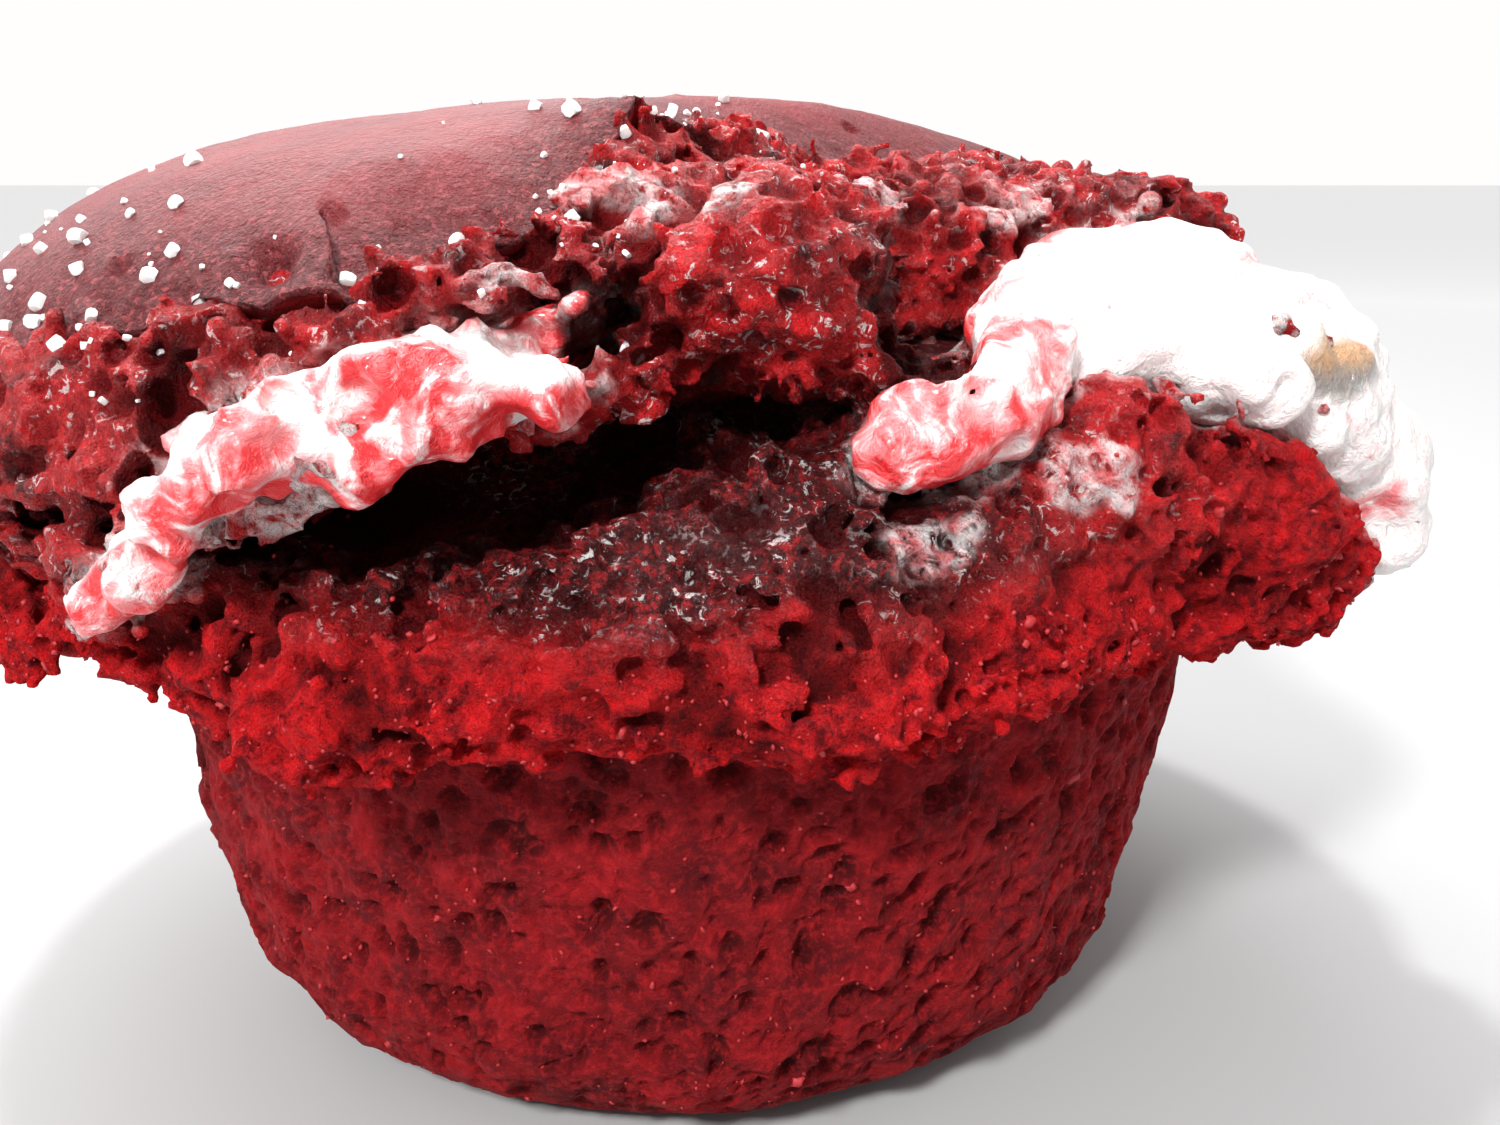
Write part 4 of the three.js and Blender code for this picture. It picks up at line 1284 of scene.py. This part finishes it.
class CUPCAKE_OT_crumbs(bpy.types.Operator):
    """Adds crumbs and finer grains that cling to the ledge, the rim and the cup"""
    bl_idname = "cupcake.crumbs"
    bl_label = "Clinging crumbs"

    def execute(self, context):
        draw = np.random.default_rng(12)
        ledges = (name for name in CRUMB_PIECES if name.startswith("ledge"))
        middles, normals, areas = surface_of(("cup", *ledges, "crumb_left"))
        x, y, z = middles.T
        outer = (np.hypot(x, y) > 26) & (z > 3)
        weight = areas * outer * (1 - 0.97 * wetness(middles)) * (0.4 + 1.6 * bell(z, 3.2, 31.0))
        for name, (count, low, high, detail) in CLINGING.items():
            pick = draw.choice(len(middles), count, replace=False, p=weight / weight.sum())
            sizes = low + (high - low) * draw.random(count) ** 2
            centres = middles[pick] + normals[pick] * sizes[:, None] * 0.1
            obj = scatter(name, uneven_ball(detail), centres, sizes, draw, 0.45)
            # Painted shade: each crumb is darkened by a random share towards the pore shade colour,
            # kept as its depth.
            shade = draw.uniform(0.3, 0.7, count)
            keep_numbers(obj.data, {"depth": np.repeat(shade, len(obj.data.vertices) // count)})
            finish_piece(obj, bpy.data.materials["sponge"], "sponge")
        return {"FINISHED"}


# The lights: place, point aimed at, side of the square and watts; lengths here are in metres.
LIGHTS = {
    "window": ((-0.14, 0.24, 0.38), (0, 0, 0.045), 0.44, 2.1),
    "glint": ((-0.05, 0.02, 0.42), (0, 0, 0.045), 0.035, 1.1),
    "fill": ((-0.13, -0.36, 0.32), (0, 0, 0.03), 0.06, 3.0),
}
FLOOR_REACH = 6.0
CAMERA_PLACE = (0.0048, -0.098, 0.0535)
CAMERA_TILT = 75
LENS, SENSOR = 35, 36


def floor_sheet():
    """A flat sheet of even squares, wide enough to reach the horizon of every view."""
    side = np.linspace(-FLOOR_REACH, FLOOR_REACH, 13)
    x, y = np.meshgrid(side, side)
    at = np.arange(x.size).reshape(x.shape)
    faces = np.stack([at[:-1, :-1], at[:-1, 1:], at[1:, 1:], at[1:, :-1]], -1).reshape(-1, 4)
    sheet = add_mesh("floor", np.stack([x, y, 0 * x], -1).reshape(-1, 3) / MM, faces, {})
    sheet.data.materials.append(floor_finish())
    return sheet


def soft_light(name, place, aim, size, power):
    """A square area light at a place, turned towards the point aimed at."""
    light = bpy.data.lights.new(name, "AREA")
    light.shape, light.size, light.energy = "SQUARE", size, power
    obj = bpy.data.objects.new(name, light)
    obj.location = place
    obj.rotation_euler = (Vector(aim) - Vector(place)).to_track_quat("-Z", "Y").to_euler()
    bpy.context.scene.collection.objects.link(obj)


def studio_world():
    """White light from above and behind that falls off towards the front: the strength
    follows the direction's height and depth together."""
    world = bpy.data.worlds.new("studio")
    nodes = Nodes(world)
    way = nodes.put("ShaderNodeSeparateXYZ", {0: nodes.place["Generated"]}).outputs
    lean = nodes.put("ShaderNodeMath", {0: way["Y"], 1: 0.8, 2: way["Z"]}, operation="MULTIPLY_ADD")
    strength = nodes.spread(lean.outputs[0], -0.6, 0.75, 0.32, 1.0, "SMOOTHSTEP")
    back = nodes.tree.nodes["Background"]
    nodes.feed(back, {"Color": (1.0, 0.99, 0.985, 1), "Strength": strength})
    return world


class CUPCAKE_OT_stage(bpy.types.Operator):
    """Sets up the floor, the light and the camera"""
    bl_idname = "cupcake.stage"
    bl_label = "Stage"

    def execute(self, context):
        scene = context.scene
        floor_sheet()
        scene.world = studio_world()
        for name, settings in LIGHTS.items():
            soft_light(name, *settings)
        camera = bpy.data.cameras.new("camera")
        camera.lens, camera.sensor_width, camera.clip_start = LENS, SENSOR, 0.001
        eye = bpy.data.objects.new("camera", camera)
        eye.location = CAMERA_PLACE
        eye.rotation_euler = (math.radians(CAMERA_TILT), 0, 0)
        scene.collection.objects.link(eye)
        scene.camera = eye
        scene.view_settings.view_transform = "Standard"
        return {"FINISHED"}


class CUPCAKE_PT_panel(bpy.types.Panel):
    """The cupcake's settings and its steps in order"""
    bl_idname = "CUPCAKE_PT_panel"
    bl_label = "Torn cupcake"
    bl_space_type = "VIEW_3D"
    bl_region_type = "UI"
    bl_category = "Cupcake"

    def draw(self, context):
        layout = self.layout
        for group in (context.scene.cupcake_sizes, context.scene.cupcake_colours):
            box = layout.box()
            for key in group.__annotations__:
                box.prop(group, key)
        for operator in OPERATORS:
            layout.operator(operator.bl_idname)


OPERATORS = (
    CUPCAKE_OT_stage, CUPCAKE_OT_cup, CUPCAKE_OT_crust, CUPCAKE_OT_crumb, CUPCAKE_OT_cream,
    CUPCAKE_OT_sugar, CUPCAKE_OT_crumbs,
)
CLASSES = (CupcakeSizes, CupcakeColours, *OPERATORS, CUPCAKE_PT_panel)


def register():
    for cls in CLASSES:
        bpy.utils.register_class(cls)
    bpy.types.Scene.cupcake_sizes = bpy.props.PointerProperty(type=CupcakeSizes)
    bpy.types.Scene.cupcake_colours = bpy.props.PointerProperty(type=CupcakeColours)


def unregister():
    del bpy.types.Scene.cupcake_colours
    del bpy.types.Scene.cupcake_sizes
    for cls in reversed(CLASSES):
        bpy.utils.unregister_class(cls)


def main():
    register()
    for operator in OPERATORS:
        name = operator.bl_idname.split(".")[1]
        getattr(bpy.ops.cupcake, name)()


if __name__ == "__main__":
    main()
